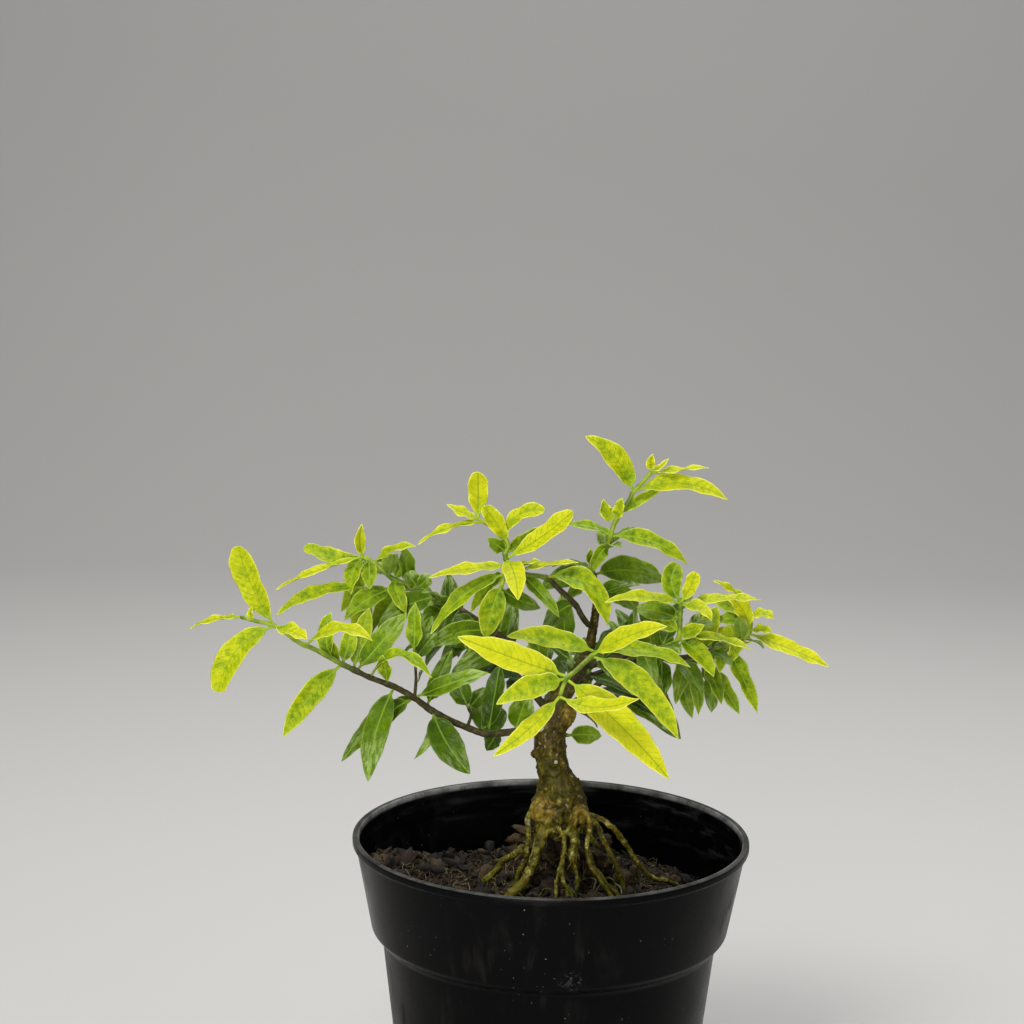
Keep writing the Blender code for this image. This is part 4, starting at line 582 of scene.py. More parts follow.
# How old each leaf of the table is: 0 a new yellow-green one, 1 an old dark green one
AGES = {
    "branch_left": [0.12, 0.1, 0.08, 0.14, 0.08, 0.1, 0.25, 0.35, 0.35, 0.5, 0.34, 0.55, 0.6, 0.68, 0.5, 0.78,
                    0.6, 0.75, 0.78, 0.85, 0.6, 0.42, 0.88, 0.7, 0.35, 0.66, 0.75, 0.30, 0.72],
    "branch_upper_left": [0.02, 0.08, 0.25, 0.22, 0.16, 0.4, 0.42, 0.36, 0.4, 0.32, 0.42, 0.6, 0.55, 0.62,
                          0.6, 0.6, 0.6, 0.7, 0.7, 0.6, 0.8, 0.3, 0.36, 0.55, 0.65, 0.3],
    "branch_top_centre": [0.0, 0.08, 0.1, 0.14, 0.06, 0.35, 0.08, 0.35, 0.3, 0.03, 0.1, 0.18, 0.26, 0.5, 0.65,
                          0.62, 0.5, 0.08],
    "branch_top_right": [0.14, 0.1, 0.0, 0.03, 0.08, 0.18, 0.18, 0.3, 0.4, 0.3, 0.4, 0.5, 0.65, 0.5, 0.42,
                         0.5, 0.5],
    "branch_right": [0.4, 0.06, 0.15, 0.1, 0.12, 0.25, 0.2, 0.3, 0.5, 0.65, 0.6, 0.3],
    "branch_right_tip": [0.03, 0.08, 0.08, 0.16, 0.02, 0.28, 0.36, 0.34, 0.36, 0.16, 0.36, 0.5, 0.25, 0.42,
                         0.2],
    "branch_right_low": [0.46, 0.5, 0.44, 0.58, 0.42, 0.75, 0.85, 0.65, 0.6, 0.55, 0.7, 0.72, 0.62, 0.5],
    "branch_front": [0.0, 0.2, 0.08, 0.24, 0.06, 0.32, 0.2, 0.0, 0.04],
    "leaf_trunk": [0.5],
}
# More small leaves among the others: pair rows as in the branch table
MORE_PAIRS = {
    "branch_upper_left": (0, 1.6, 6.6, 5, 13.0, 5.0, 113),
    "branch_top_right": (0, 0.6, 4.4, 3, 13.0, 5.0, 70),
    "branch_right": (0, 1.4, 5.2, 4, 13.0, 5.0, 106),
    "branch_right_tip": (0, 1.8, 6.6, 4, 9.5, 3.8, 118),
    "branch_right_low": (0, 1.4, 5.6, 4, 13.0, 5.0, 9),
    "branch_back_left": (0, 1.6, 5.4, 4, 11.5, 4.4, 126),
    "branch_back_mid": (0, 1.6, 4.6, 3, 11.5, 4.4, 147),
    "branch_back_right": (0, 1.6, 4.6, 4, 13.0, 5.0, 138),
}
# Single small leaves past the solids: branch, twig, point along it, tip, bulge, width, face, age
MORE_LEAVES = [
    ("branch_left", 0, 9.4, (-56.5, -3, 146.3), (-1.5, 0, 0), 4.6, (-1, -3, 1), 0.3),
    ("branch_top_centre", 1, 0.6, (-21.6, 2, 146.0), (0, 0, 1.5), 5.5, (0, -2, 2), 0.36),
    ("branch_back_right", 0, 2.2, (30.2, 6, 115.0), (2, 0, 1), 6.4, (-1, -3, 0.5), 0.78),
    ("branch_left", 0, 3.2, (-12.8, 2, 121.2), (1, 0, 0.5), 6.0, (0, -3, 1), 0.88),
    ("branch_upper_left", 0, 1.2, (-6.1, 14, 139.8), (0, 0, 2), 4.8, (0, -2, 2), 0.5),
    ("branch_upper_left", 0, 3.4, (-31.7, 6, 135.6), (0, 0, 2.5), 5.2, (0, -2, 2), 0.8),
    ("branch_upper_left", 0, 3.8, (-27.6, 6, 137.5), (0, 0, 1.5), 5.0, (1, -3, 1), 0.86),
    ("branch_back_left", 0, 4.6, (-24.8, 9, 133.0), (0, 0, 2), 5.0, (0, -2, 2), 0.82),
    ("branch_back_left", 0, 2.0, (-10.6, 6, 122.3), (0, 0, 1), 5.2, (0, -2, 1), 0.85),
]
# The point along each main twig where woody bark has given way to green stem
GREEN_FROM = {"branch_left": 9.0, "branch_upper_left": 5.0, "branch_top_centre": 4.0, "branch_top_right": 2.0,
              "branch_right": 3.0, "branch_right_tip": 5.0, "branch_right_low": 3.5, "branch_front": 2.5,
              "branch_back_left": 3.0, "branch_back_mid": 2.5, "branch_back_right": 2.5, "leaf_trunk": 1.0}

# How woody the side twigs are
SIDE_TWIG_WOOD = {"branch_left": 0.8}

# Fine leaves: rows and columns of points, thickness of blade and stalk, height of the midrib on the under
# side, depth of the groove over it, and the half-width of both
LEAF_ROWS = 40
LEAF_COLUMNS = 11
LAMINA = 0.24
STALK_THICKNESS = 0.62
MIDRIB = 0.24
GROOVE = 0.07
MIDRIB_REACH = 0.26
# How much the leaf points crowd towards the ends and towards the margins
END_CROWDING = 0.45
MARGIN_CROWDING = 0.92
# Swings of a leaf's width: height and number along the leaf
WIDTH_SWINGS = ((0.03, 2.3), (0.015, 5.1))
# Small waves of the margins: height, length, how far both margins are apart in step, and sharpness
MARGIN_WAVES = ((1.0, 5.2, 1.3, 2), (0.5, 3.1, -0.9, 3))
MARGIN_WAVE_HEIGHT = 0.16
TIP_DROOP = 0.35

# Stems: their share of the solids' radius, sides, rings to each stretch, roughness, and the collars at leaves
STEM_SLIMNESS = 0.86
STEM_SIDES = 12
STEM_STEPS = 7
STEM_ROUGHNESS = 0.10
COLLAR_HEIGHT = 0.16
COLLAR_REACH = 0.13


def smooth(x, low, high):
    """0 below low, 1 above high and an even curve between them."""
    s = np.clip((x - low) / (high - low), 0, 1)
    return s * s * (3 - 2 * s)


def wobble(points, scale, shift=(0, 0, 0)):
    """Smooth noise at each of the points."""
    return np.array([noise.noise(Vector(p) * scale + Vector(shift)) for p in points])


def both_sides(rows):
    """Values at the points of a leaf's upper side, then at those of its under side within the margins."""
    return np.concatenate([rows.reshape(-1, 3), rows[:, 1:-1].reshape(-1, 3)])


def leaf_faces():
    """The faces of every leaf: upper side, under side, which shares the margins, and both ends."""
    n, m = LEAF_ROWS, LEAF_COLUMNS
    upper = np.arange(n * m).reshape(n, m)
    under = upper.copy()
    under[:, 1:-1] = n * m + np.arange(n * (m - 2)).reshape(n, m - 2)
    top = np.stack([upper[:-1, :-1], upper[:-1, 1:], upper[1:, 1:], upper[1:, :-1]], -1).reshape(-1, 4)
    low = np.stack([under[:-1, :-1], under[1:, :-1], under[1:, 1:], under[:-1, 1:]], -1).reshape(-1, 4)
    faces = [tuple(f) for f in np.concatenate([top, low])]
    for row, flip in ((0, True), (n - 1, False)):
        ring = list(upper[row]) + list(under[row][-2:0:-1])
        faces.append(tuple(ring[::-1] if flip else ring))
    return faces


def fine_leaf(leaf, age, draw):
    """The points of a leaf, thin and sharp at the margins and round at the stalk, and their values."""
    base, tip, _, width, _, fall = leaf
    length = np.linalg.norm(tip - base)
    even = np.linspace(0, 1, LEAF_ROWS)
    t = (1 - END_CROWDING) * even + END_CROWDING * (0.5 - 0.5 * np.cos(np.pi * even))
    across = np.sin(np.linspace(-np.pi / 2, np.pi / 2, LEAF_COLUMNS) * MARGIN_CROWDING)[None, :]
    across = across / np.sin(MARGIN_CROWDING * np.pi / 2)
    tt = t[:, None]
    centre, up, side = leaf_frame(leaf, t)
    blade = smooth(tt, 0.1, 0.2) * smooth(1 - tt, 0.0, 0.12)
    starts = draw.uniform(0, 2 * np.pi, 4)
    swing = 0
    for (high, count), start in zip(WIDTH_SWINGS, starts):
        swing = swing + high * np.sin(2 * np.pi * count * tt + start)
    half = half_width(t, width, fall)[:, None] * (1 + blade * swing)
    lift = FOLD * (np.sqrt(across ** 2 + 0.006) - 0.5) * half
    lift = lift + WAVE * ripple(t, across) * np.minimum(1, half / 1.5)
    waves = 0
    for (high, run, step, power), start in zip(MARGIN_WAVES, starts[2:]):
        wave = np.sin(2 * np.pi * length * tt / run + start + step * np.sign(across))
        waves = waves + high * wave * np.abs(across) ** power
    lift = lift + MARGIN_WAVE_HEIGHT * waves * np.minimum(1, half / 1.8) * blade
    lift = lift - TIP_DROOP * smooth(tt, 0.84, 1.0) * min(1, width / 4)
    offset = across * half
    middle = off_line(centre, up, side, offset, lift)
    stalk = 1 - smooth(tt, 0.07, 0.2)
    thick = LAMINA + (STALK_THICKNESS - LAMINA) * stalk
    thick = thick * np.maximum(1 - across ** 2, 0) ** (0.28 + 0.22 * stalk) / 2
    rib = np.exp(-(offset / MIDRIB_REACH) ** 2) * (1 - tt) ** 0.6 * (1 - stalk)
    above = middle + up[:, None] * (thick - GROOVE * rib)[..., None]
    below = middle - up[:, None] * (thick + MIDRIB * rib)[..., None]
    points = np.concatenate([above.reshape(-1, 3), below[:, 1:-1].reshape(-1, 3)])
    inside = half * (1 - np.abs(across))
    values = both_sides(np.stack([inside, np.broadcast_to(tt, inside.shape), offset], -1))
    own = np.full(len(points), draw.uniform())
    growth = np.stack([values[:, 1] * length, np.full(len(points), age), own], -1)
    return points, {"blade": values, "growth": growth, "under": np.arange(len(points)) >= inside.size}


def new_object(name, data):
    obj = bpy.data.objects.new(name, data)
    bpy.context.scene.collection.objects.link(obj)
    return obj


def new_mesh(name, verts, faces):
    data = bpy.data.meshes.new(name)
    data.from_pydata(np.asarray(verts).tolist(), [], faces)
    return data


def worked(obj):
    """The mesh of an object with its melting or cutting done."""
    return bpy.data.meshes.new_from_object(obj.evaluated_get(bpy.context.evaluated_depsgraph_get()))


def make_piece(name, verts, faces, material, slot, replaces=()):
    data = new_mesh(name, np.asarray(verts) * MM, faces)
    data.validate()
    obj = new_object(name, data)
    data.materials.append(material)
    data.shade_smooth()
    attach(obj, "root")
    if replaces:
        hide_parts(*replaces)
    return obj


def add_attribute(obj, name, values):
    """Values at the points: one number each, or three."""
    values = np.ascontiguousarray(values, dtype=np.float32)
    vector = values.ndim == 2
    layer = obj.data.attributes.new(name, "FLOAT_VECTOR" if vector else "FLOAT", "POINT")
    layer.data.foreach_set("vector" if vector else "value", values.ravel())


class Gathered:
    """Small closed shapes gathered into one mesh, with the values that they bring for their points."""

    def __init__(self):
        self.verts = []
        self.faces = []
        self.values = {}
        self.count = 0

    def take(self, verts, faces, **values):
        """Add a shape. Each value is a number for all of its points, or an array with a row for each."""
        self.verts.append(np.asarray(verts, float))
        self.faces += [tuple(int(i) + self.count for i in face) for face in faces]
        self.count += len(verts)
        for name, value in values.items():
            rows = np.full(len(verts), value) if np.ndim(value) == 0 else value
            self.values.setdefault(name, []).append(rows)

    def points(self):
        return np.concatenate(self.verts)

    def make(self, name, material, slot, replaces=()):
        obj = make_piece(name, self.points(), self.faces, material, slot, replaces)
        for key, rows in self.values.items():
            add_attribute(obj, key, np.concatenate(rows))
        return obj


def fine_tube(path, first, last, collars):
    """A smooth tapering stem with collars at the given points, and the share of the path at its points."""
    shares, points = samples(path, STEM_STEPS)
    radii = STEM_SLIMNESS * np.linspace(first, last, len(shares))
    for node in collars:
        radii = radii * (1 + COLLAR_HEIGHT * np.exp(-((shares - node) / COLLAR_REACH) ** 2))
    radii[-1] *= 0.5
    verts, faces = tube(points, radii, STEM_SIDES)
    return verts, faces, np.repeat(shares, STEM_SIDES)


class Value:
    """A number or a colour at every point of a surface. Sums and products of such values are new ones."""

    def __init__(self, nodes, socket):
        self.nodes = nodes
        self.socket = socket

    def __add__(self, other):
        return self.nodes.math("ADD", self, other)

    def __sub__(self, other):
        return self.nodes.math("SUBTRACT", self, other)

    def __mul__(self, other):
        return self.nodes.math("MULTIPLY", self, other)

    def __truediv__(self, other):
        return self.nodes.math("DIVIDE", self, other)

    def __pow__(self, other):
        return self.nodes.math("POWER", self, other)

    def __abs__(self):
        return self.nodes.math("ABSOLUTE", self)


class Nodes:
    """The patterns of one surface, each made from earlier ones."""

    def __init__(self, name):
        self.material = bpy.data.materials.new(name)
        self.material.use_nodes = True
        self.tree = self.material.node_tree
        self.shader = self.tree.nodes["Principled BSDF"]

    def put(self, socket, value):
        if isinstance(value, Value):
            self.tree.links.new(value.socket, socket)
        else:
            socket.default_value = value

    def node(self, kind, settings, inputs):
        """One step of a pattern, with its inputs given by name, or by number as i0, i1 and so on."""
        made = self.tree.nodes.new("ShaderNode" + kind)
        for key, value in settings.items():
            setattr(made, key, value)
        for key, value in inputs.items():
            number = key[0] == "i" and key[1:].isdigit()
            self.put(made.inputs[int(key[1:]) if number else key.replace("_", " ")], value)
        return made

    def value(self, kind, output=0, settings=(), **inputs):
        return Value(self, self.node(kind, dict(settings), inputs).outputs[output])

    def math(self, operation, *numbers):
        inputs = {f"i{k}": number for k, number in enumerate(numbers)}
        return self.value("Math", 0, {"operation": operation}, **inputs)

    def attribute(self, name, output="Fac"):
        return self.value("Attribute", output, {"attribute_name": name})

    def place(self):
        return self.value("TexCoord", "Object")

    def stretched(self, place, upward):
        return self.value("Mapping", Vector=place, Scale=(1.0, 1.0, upward))

    def split(self, vector):
        return [Value(self, part) for part in self.node("SeparateXYZ", {}, {"Vector": vector}).outputs]

    def join(self, x, y, z=0.0):
        return self.value("CombineXYZ", X=x, Y=y, Z=z)

    def range(self, value, low, high, out_low=0.0, out_high=1.0):
        return self.value("MapRange", 0, {"interpolation_type": "SMOOTHSTEP"}, Value=value, From_Min=low,
                          From_Max=high, To_Min=out_low, To_Max=out_high)

    def mix(self, share, a, b, blend="MIX"):
        a, b = ((*colour, 1.0) if isinstance(colour, tuple) else colour for colour in (a, b))
        return self.value("Mix", 2, {"data_type": "RGBA", "blend_type": blend}, i0=share, i6=a, i7=b)

    def ramp(self, value, stops):
        made = self.node("ValToRGB", {}, {"Fac": value})
        elements = made.color_ramp.elements
        while len(elements) < len(stops):
            elements.new(0.5)
        for element, (place, colour) in zip(elements, stops):
            element.position = place
            element.color = (*colour, 1)
        return Value(self, made.outputs[0])

    def noise(self, place, scale, detail=4.0, roughness=0.55):
        return self.value("TexNoise", Vector=place, Scale=scale, Detail=detail, Roughness=roughness)

    def bump(self, height, strength, distance):
        return self.value("Bump", Height=height, Strength=strength, Distance=distance)

    def finish(self, **inputs):
        """Give the surface its colour, roughness and relief."""
        for key, value in inputs.items():
            self.put(self.shader.inputs[key.replace("_", " ")], value)
        return self.material


# Leaf colours by age, with patches and veins added to the age. The rib, the rim and the stalk have their own.
LEAF_COLOURS = [(0.0, (0.52, 0.53, 0.008)), (0.14, (0.42, 0.46, 0.005)), (0.3, (0.27, 0.35, 0.003)),
                (0.45, (0.165, 0.26, 0.003)), (0.62, (0.084, 0.156, 0.002)), (0.8, (0.046, 0.093, 0.001)),
                (1.0, (0.022, 0.049, 0.001))]
RIB_COLOURS = [(0.0, (0.17, 0.25, 0.008)), (0.3, (0.27, 0.40, 0.02)), (1.0, (0.14, 0.25, 0.03))]
RIM_COLOURS = [(0.0, (0.82, 0.78, 0.20)), (0.35, (0.62, 0.70, 0.14)), (0.6, (0.20, 0.30, 0.05)),
               (1.0, (0.07, 0.13, 0.02))]
STALK_COLOURS = [(0.0, (0.30, 0.42, 0.02)), (1.0, (0.06, 0.13, 0.01))]
VEIN_TINT = (0.55, 0.76, 0.4)
# Colour of the painted highlight towards the tips of old leaves
TIP_HIGHLIGHT_COLOUR = (0.44, 0.55, 0.24)
UNDERSIDE_COLOUR = (0.24, 0.33, 0.07)
# Millimetres along the midrib from one side vein to the next, and how they sweep towards the tip
VEIN_SPACING = 1.75
VEIN_SWEEP = 0.75
VEIN_ARCH = 1.25


def leaf_material():
    """Waxy leaf, yellow-green when new and dark green when old.

    The blade attribute holds the distance to the margin, the share of the length and the offset from the
    midrib. The growth attribute holds the length so far, the age and a number of the leaf's own.
    """
    m = Nodes("leaf_surface")
    inside, t, across = m.split(m.attribute("blade", "Vector"))
    along, age, seed = m.split(m.attribute("growth", "Vector"))
    under = m.attribute("under")
    flat = abs(across)
    place = m.join(across, along, seed * 37.0)

    # Side veins leave the midrib towards the tip and arch along the margin
    sweep = flat ** VEIN_ARCH * VEIN_SWEEP
    count = (along - sweep + (m.noise(place, 0.7, 2.0) - 0.5) * 1.1) / VEIN_SPACING
    tooth = abs(m.math("FRACT", count) - 0.5)
    side_vein = m.range(tooth, 0.39, 0.49) * m.range(inside, 0.15, 0.7)
    net = m.value("TexVoronoi", 0, {"feature": "DISTANCE_TO_EDGE"}, Vector=place, Scale=1.5)
    net = m.range(net, 0.07, 0.0)
    midrib = m.range(flat, 0.28, 0.08)
    on_blade = m.range(t, 0.08, 0.17)
    margin = m.range(inside + m.noise(place, 1.6, 2.0) * 0.3, 0.50, 0.24) * on_blade

    # The blade: patches, a greener heart on young leaves, quilting and soft bands along the veins
    patch = m.noise(place, 0.32, 3.0)
    speckle = m.noise(place, 2.4, 3.0)
    quilt = m.noise(place, 0.8, 4.0, 0.65)
    mottle = m.range(m.noise(place, 0.6, 3.0, 0.6), 0.36, 0.70)
    heart = m.range(inside, 0.2, 1.5) * m.range(t, 1.0, 0.7)
    greening = heart * mottle * (m.range(age, 0.0, 0.25, 0.10, 0.22) * m.range(age, 0.65, 0.3))
    soft_vein = m.range(tooth, 0.22, 0.5) * m.range(inside, 0.15, 0.9)
    shade = age + (patch - 0.5) * 0.44 + (speckle - 0.5) * 0.16 + (quilt - 0.5) * 0.38
    shade = shade + soft_vein * m.range(age, 0.7, 0.1, 0.0, 0.04) + greening + m.range(t, 0.5, 0.05) * 0.16
    colour = m.ramp(shade, LEAF_COLOURS)
    veins = m.math("MAXIMUM", side_vein, net * 0.35) * (m.range(age, 0.7, 0.2, 0.15, 1.0) * 0.24)
    colour = m.mix(veins, colour, m.mix(1.0, colour, VEIN_TINT, "MULTIPLY"))

    # A painted pale streaky highlight towards the tips of old leaves, standing in for their gloss
    streaky = m.join(across * 1.8, along * 0.45, seed * 53.0)
    painted_tip_highlight = m.range(m.noise(streaky, 0.7, 2.0), 0.40, 0.66) * m.range(seed, 0.1, 0.6, 0.4, 1.0)
    old_tip = m.range(t, 0.45, 0.8) * (m.range(age, 0.38, 0.6) * m.range(age, 0.95, 0.8))
    colour = m.mix(old_tip * painted_tip_highlight * 0.6, colour, TIP_HIGHLIGHT_COLOUR)

    colour = m.mix(midrib * m.range(age, 0.1, 0.5, 0.6, 0.7), colour, m.ramp(age, RIB_COLOURS))
    colour = m.mix(margin * m.range(speckle, 0.35, 0.65, 0.45, 0.8), colour, m.ramp(age, RIM_COLOURS))
    colour = m.mix(on_blade, m.ramp(age, STALK_COLOURS), colour)
    colour = m.mix(under, colour, m.mix(0.4, colour, UNDERSIDE_COLOUR))
    rough = m.range(age, 0.1, 0.8, 0.40, 0.20) + speckle * 0.14 + under * 0.18
    height = side_vein * -0.7 + speckle * 0.45 + net * -0.3 + patch * 0.6
    return m.finish(Base_Color=colour, Roughness=rough, Normal=m.bump(height, 0.7, 0.00014),
                    Subsurface_Weight=0.22, Subsurface_Scale=0.001, Subsurface_Radius=(0.8, 1.0, 0.08),
                    Specular_IOR_Level=0.13)


TWIG_BARK_COLOURS = [(0.25, (0.014, 0.011, 0.003)), (0.55, (0.044, 0.037, 0.011)), (0.8, (0.12, 0.10, 0.04))]
GREEN_STEM_COLOURS = ((0.085, 0.15, 0.008), (0.26, 0.35, 0.02))


def stem_material():
    """Brown twig bark that gives way to green stem."""
    m = Nodes("stem_surface")
    place = m.place()
    grain = m.noise(place, 900.0, 4.0)
    patch = m.noise(place, 260.0, 3.0)
    green = m.mix(m.range(patch, 0.35, 0.65), *GREEN_STEM_COLOURS)
    share = m.range(m.attribute("woody") + (patch - 0.5) * 0.5, 0.35, 0.65)
    return m.finish(Base_Color=m.mix(share, green, m.ramp(grain, TWIG_BARK_COLOURS)),
                    Roughness=m.range(share, 0.0, 1.0, 0.42, 0.8), Normal=m.bump(grain, 0.6, 0.00015),
                    Specular_IOR_Level=0.22)


# Bark colours from its hollows to its crests: the bark's own olive, ochre and gold tones, with painted shade
# in the hollows and painted highlights on the crests
TRUNK_COLOURS = [(0.35, (0.006, 0.004, 0.001)), (0.46, (0.030, 0.021, 0.0012)), (0.56, (0.080, 0.061, 0.004)),
                 (0.68, (0.31, 0.26, 0.05))]
BURL_COLOURS = [(0.36, (0.034, 0.019, 0.002)), (0.49, (0.170, 0.112, 0.010)), (0.64, (0.50, 0.37, 0.09))]
ROOT_COLOURS = [(0.36, (0.011, 0.009, 0.001)), (0.46, (0.062, 0.053, 0.004)), (0.55, (0.180, 0.158, 0.015)),
                (0.66, (0.62, 0.56, 0.18))]
# Colours of the pale spots: painted highlights on the wood, and the pale rootlets' own colour
GLINT_SPOT_COLOURS = ((0.14, 0.15, 0.10), (0.52, 0.56, 0.48))
# Tints over the bark
REDDISH = (0.090, 0.048, 0.006)
GOLD = (0.20, 0.135, 0.012)
FOOT_GREEN = (0.110, 0.150, 0.010)
MOSS = (0.074, 0.084, 0.006)
DUST = (0.50, 0.45, 0.27)
# Colour of the painted shade in the bark's hollows and pits
HOLLOW_SHADE_COLOUR = (0.014, 0.010, 0.004)


def bark_material():
    """Olive bark, golden burls, ochre roots that turn green towards the soil, painted shade in hollows and
    pits, and pale spots of painted highlight.
    """
    m = Nodes("bark_surface")
    place = m.place()
    height_up = m.split(place)[2]
    big = m.noise(place, 150.0, 3.0)
    mid = m.noise(place, 520.0, 4.0)
    fine = m.noise(place, 1900.0, 4.0, 0.65)
    streak = m.noise(m.stretched(place, 0.3), 900.0, 4.0, 0.6)
    # The bump rises with relief, which shares its noise with grain, so the bark ramps paint highlights on the
    # crests and shade in the hollows
    relief = mid * 0.6 + fine * 0.4
    grain = mid * 0.4 + (fine * 0.25 + streak * 0.35)
    trunk = m.ramp(grain, TRUNK_COLOURS)
    trunk = m.mix(m.range(m.noise(place, 310.0, 2.0), 0.58, 0.70) * 0.45, trunk, REDDISH)
    roots = m.ramp(relief, ROOT_COLOURS)
    roots = m.mix(m.range(m.noise(place, 120.0, 2.0), 0.5, 0.62) * 0.4, roots, GOLD)
    roots = m.mix(m.range(height_up, 0.086, 0.074) * m.range(big, 0.40, 0.58) * 0.35, roots, FOOT_GREEN)
    colour = m.mix(m.attribute("root"), trunk, roots)
    # Golden burls, with painted highlights on their crests and painted shade in their hollows
    colour = m.mix(m.attribute("burl") * 0.75, colour, m.ramp(grain, BURL_COLOURS))
    colour = m.mix(m.range(big, 0.50, 0.62) * m.range(fine, 0.38, 0.58) * 0.38, colour, MOSS)
    dust = m.range(m.noise(place, 800.0, 2.0), 0.60, 0.70) * m.range(big, 0.56, 0.42)
    colour = m.mix(dust * 0.5, colour, DUST)
    # Painted shade in sunken bark and inside the pits
    colour = m.mix(m.attribute("deep") * 0.82, colour, HOLLOW_SHADE_COLOUR)
    # Pale spots: painted highlights on the wood, and the pale rootlets' own colour
    scar = m.range(m.attribute("scar") + mid * 0.9, 0.75, 1.05)
    colour = m.mix(scar, colour, m.mix(fine, *GLINT_SPOT_COLOURS))
    return m.finish(Base_Color=colour, Roughness=m.range(fine, 0.3, 0.7, 0.30, 0.62),
                    Normal=m.bump(relief, 0.9, 0.0003), Specular_IOR_Level=0.16)


SOIL_COLOURS = [(0.3, (0.006, 0.004, 0.003)), (0.5, (0.022, 0.014, 0.009)), (0.7, (0.06, 0.042, 0.028))]
# Crumb colours by kind: from black peat through bark chips to pale fibres
CRUMB_COLOURS = [(0.0, (0.005, 0.0035, 0.002)), (0.4, (0.015, 0.0095, 0.0045)), (0.62, (0.050, 0.031, 0.012)),
                 (0.78, (0.105, 0.068, 0.024)), (0.84, (0.046, 0.024, 0.020)), (0.93, (0.115, 0.082, 0.030)),
                 (1.0, (0.30, 0.25, 0.12))]
# Darkening for the painted shade in the crumbs' hollows
CRUMB_HOLLOW_SHADE = (0.35, 0.33, 0.30)


def soil_material():
    m = Nodes("soil_surface")
    place = m.place()
    mid = m.noise(place, 420.0, 5.0, 0.65)
    height = mid + m.noise(place, 1800.0, 4.0, 0.65) * 0.4
    return m.finish(Base_Color=m.ramp(mid, SOIL_COLOURS), Roughness=0.92, Normal=m.bump(height, 1.0, 0.0008),
                    Specular_IOR_Level=0.3)


def crumb_material():
    m = Nodes("crumb_surface")
    fine = m.noise(m.place(), 1500.0, 4.0, 0.65)
    colour = m.ramp(m.attribute("kind"), CRUMB_COLOURS)
    # Painted shade in the crumbs' hollows, where the bump is low
    dark = m.mix(1.0, colour, CRUMB_HOLLOW_SHADE, "MULTIPLY")
    return m.finish(Base_Color=m.mix(m.range(fine, 0.62, 0.38), colour, dark),
                    Roughness=m.range(fine, 0.3, 0.7, 0.55, 0.95), Normal=m.bump(fine, 0.9, 0.0003),
                    Specular_IOR_Level=0.4)


PLASTIC = (0.0018, 0.0017, 0.0019)
DUSTY_PLASTIC = (0.013, 0.013, 0.0115)
SPECK_COLOUR = (0.22, 0.22, 0.21)
# Colour of the painted highlight, with some wear, along the rim
RIM_HIGHLIGHT_AND_WEAR_COLOUR = (0.34, 0.34, 0.335)
# Colour of the faint painted reflections inside the pot
INNER_REFLECTION_COLOUR = (0.06, 0.058, 0.062)
# Dried water marks low on the front of the pot, in metres
RESIDUE_PLACE = (0.0055, -0.0440, 0.0676)
RESIDUE_REACH = 0.0045
RESIDUE_COLOUR = (0.11, 0.11, 0.12)


def plastic_material():
    """Thin black plastic: glossy, with dust in cloudy streaks, a few specks, a painted highlight with some
    rubbed wear along the rim, and faint painted reflections inside.
    """
    m = Nodes("pot_plastic")
    place = m.place()
    east, north, height_up = m.split(place)
    inner = m.attribute("inside")
    streak = m.noise(m.stretched(place, 0.12), 260.0, 4.0, 0.6)
    cloud = m.noise(place, 55.0, 4.0, 0.6)
    dirt = m.range(streak, 0.48, 0.70) * m.range(cloud, 0.44, 0.66)
    colour = m.mix(dirt * 0.55, PLASTIC, DUSTY_PLASTIC)
    speck = m.range(m.noise(place, 1300.0, 1.0), 0.76, 0.80)
    colour = m.mix(speck * m.range(cloud, 0.48, 0.62), colour, SPECK_COLOUR)

    away = m.value("VectorMath", "Value", {"operation": "DISTANCE"}, i0=place, i1=RESIDUE_PLACE)
    residue = m.range(away, RESIDUE_REACH, 0.0) * m.range(m.noise(place, 1100.0, 5.0, 0.75), 0.50, 0.66)
    colour = m.mix(residue * 0.8, colour, RESIDUE_COLOUR)

    # A painted highlight, with some rubbed wear, runs along the rim's top edge and on the inner lip
    lip = m.range(height_up, (POT_HEIGHT - 1.7) * MM, (POT_HEIGHT - 0.8) * MM) * inner
    edge = m.range(height_up, (POT_HEIGHT - 0.35) * MM, (POT_HEIGHT - 0.1) * MM)
    edge = edge * m.range(inner, 0.0, 1.0, 0.24, 1.0)
    rim_highlight_and_wear = m.math("MAXIMUM", lip, edge) * m.range(m.noise(place, 120.0, 5.0, 0.75), 0.34, 0.66, 0.25, 1.0)
    colour = m.mix(rim_highlight_and_wear * 0.9, colour, RIM_HIGHLIGHT_AND_WEAR_COLOUR)

    # Faint painted reflections run level round the inside, most of them at the right
    level = m.join(m.math("ARCTAN2", east, north), height_up * 90.0)
    painted_reflection = m.range(m.noise(level, 4.0, 4.0, 0.6), 0.50, 0.72) * inner
    painted_reflection = painted_reflection * (m.range(height_up, 0.0745, 0.080) * m.range(east, -0.02, 0.02, 0.25, 1.0))
    colour = m.mix(painted_reflection * 0.6, colour, INNER_REFLECTION_COLOUR)
    rough = m.range(cloud, 0.3, 0.7, 0.24, 0.36) + dirt * 0.32 + rim_highlight_and_wear * 0.3
    height = m.noise(place, 2600.0, 3.0, 0.6) * 0.45 + streak * 0.35
    return m.finish(Base_Color=colour, Roughness=rough, Normal=m.bump(height, 0.35, 0.0001),
                    Specular_IOR_Level=0.045)


def studio_material(colour, roughness):
    m = Nodes("studio_paint")
    soft = m.noise(m.place(), 3.0, 2.0)
    return m.finish(Base_Color=m.mix(soft, colour, tuple(0.97 * c for c in colour)), Roughness=roughness)


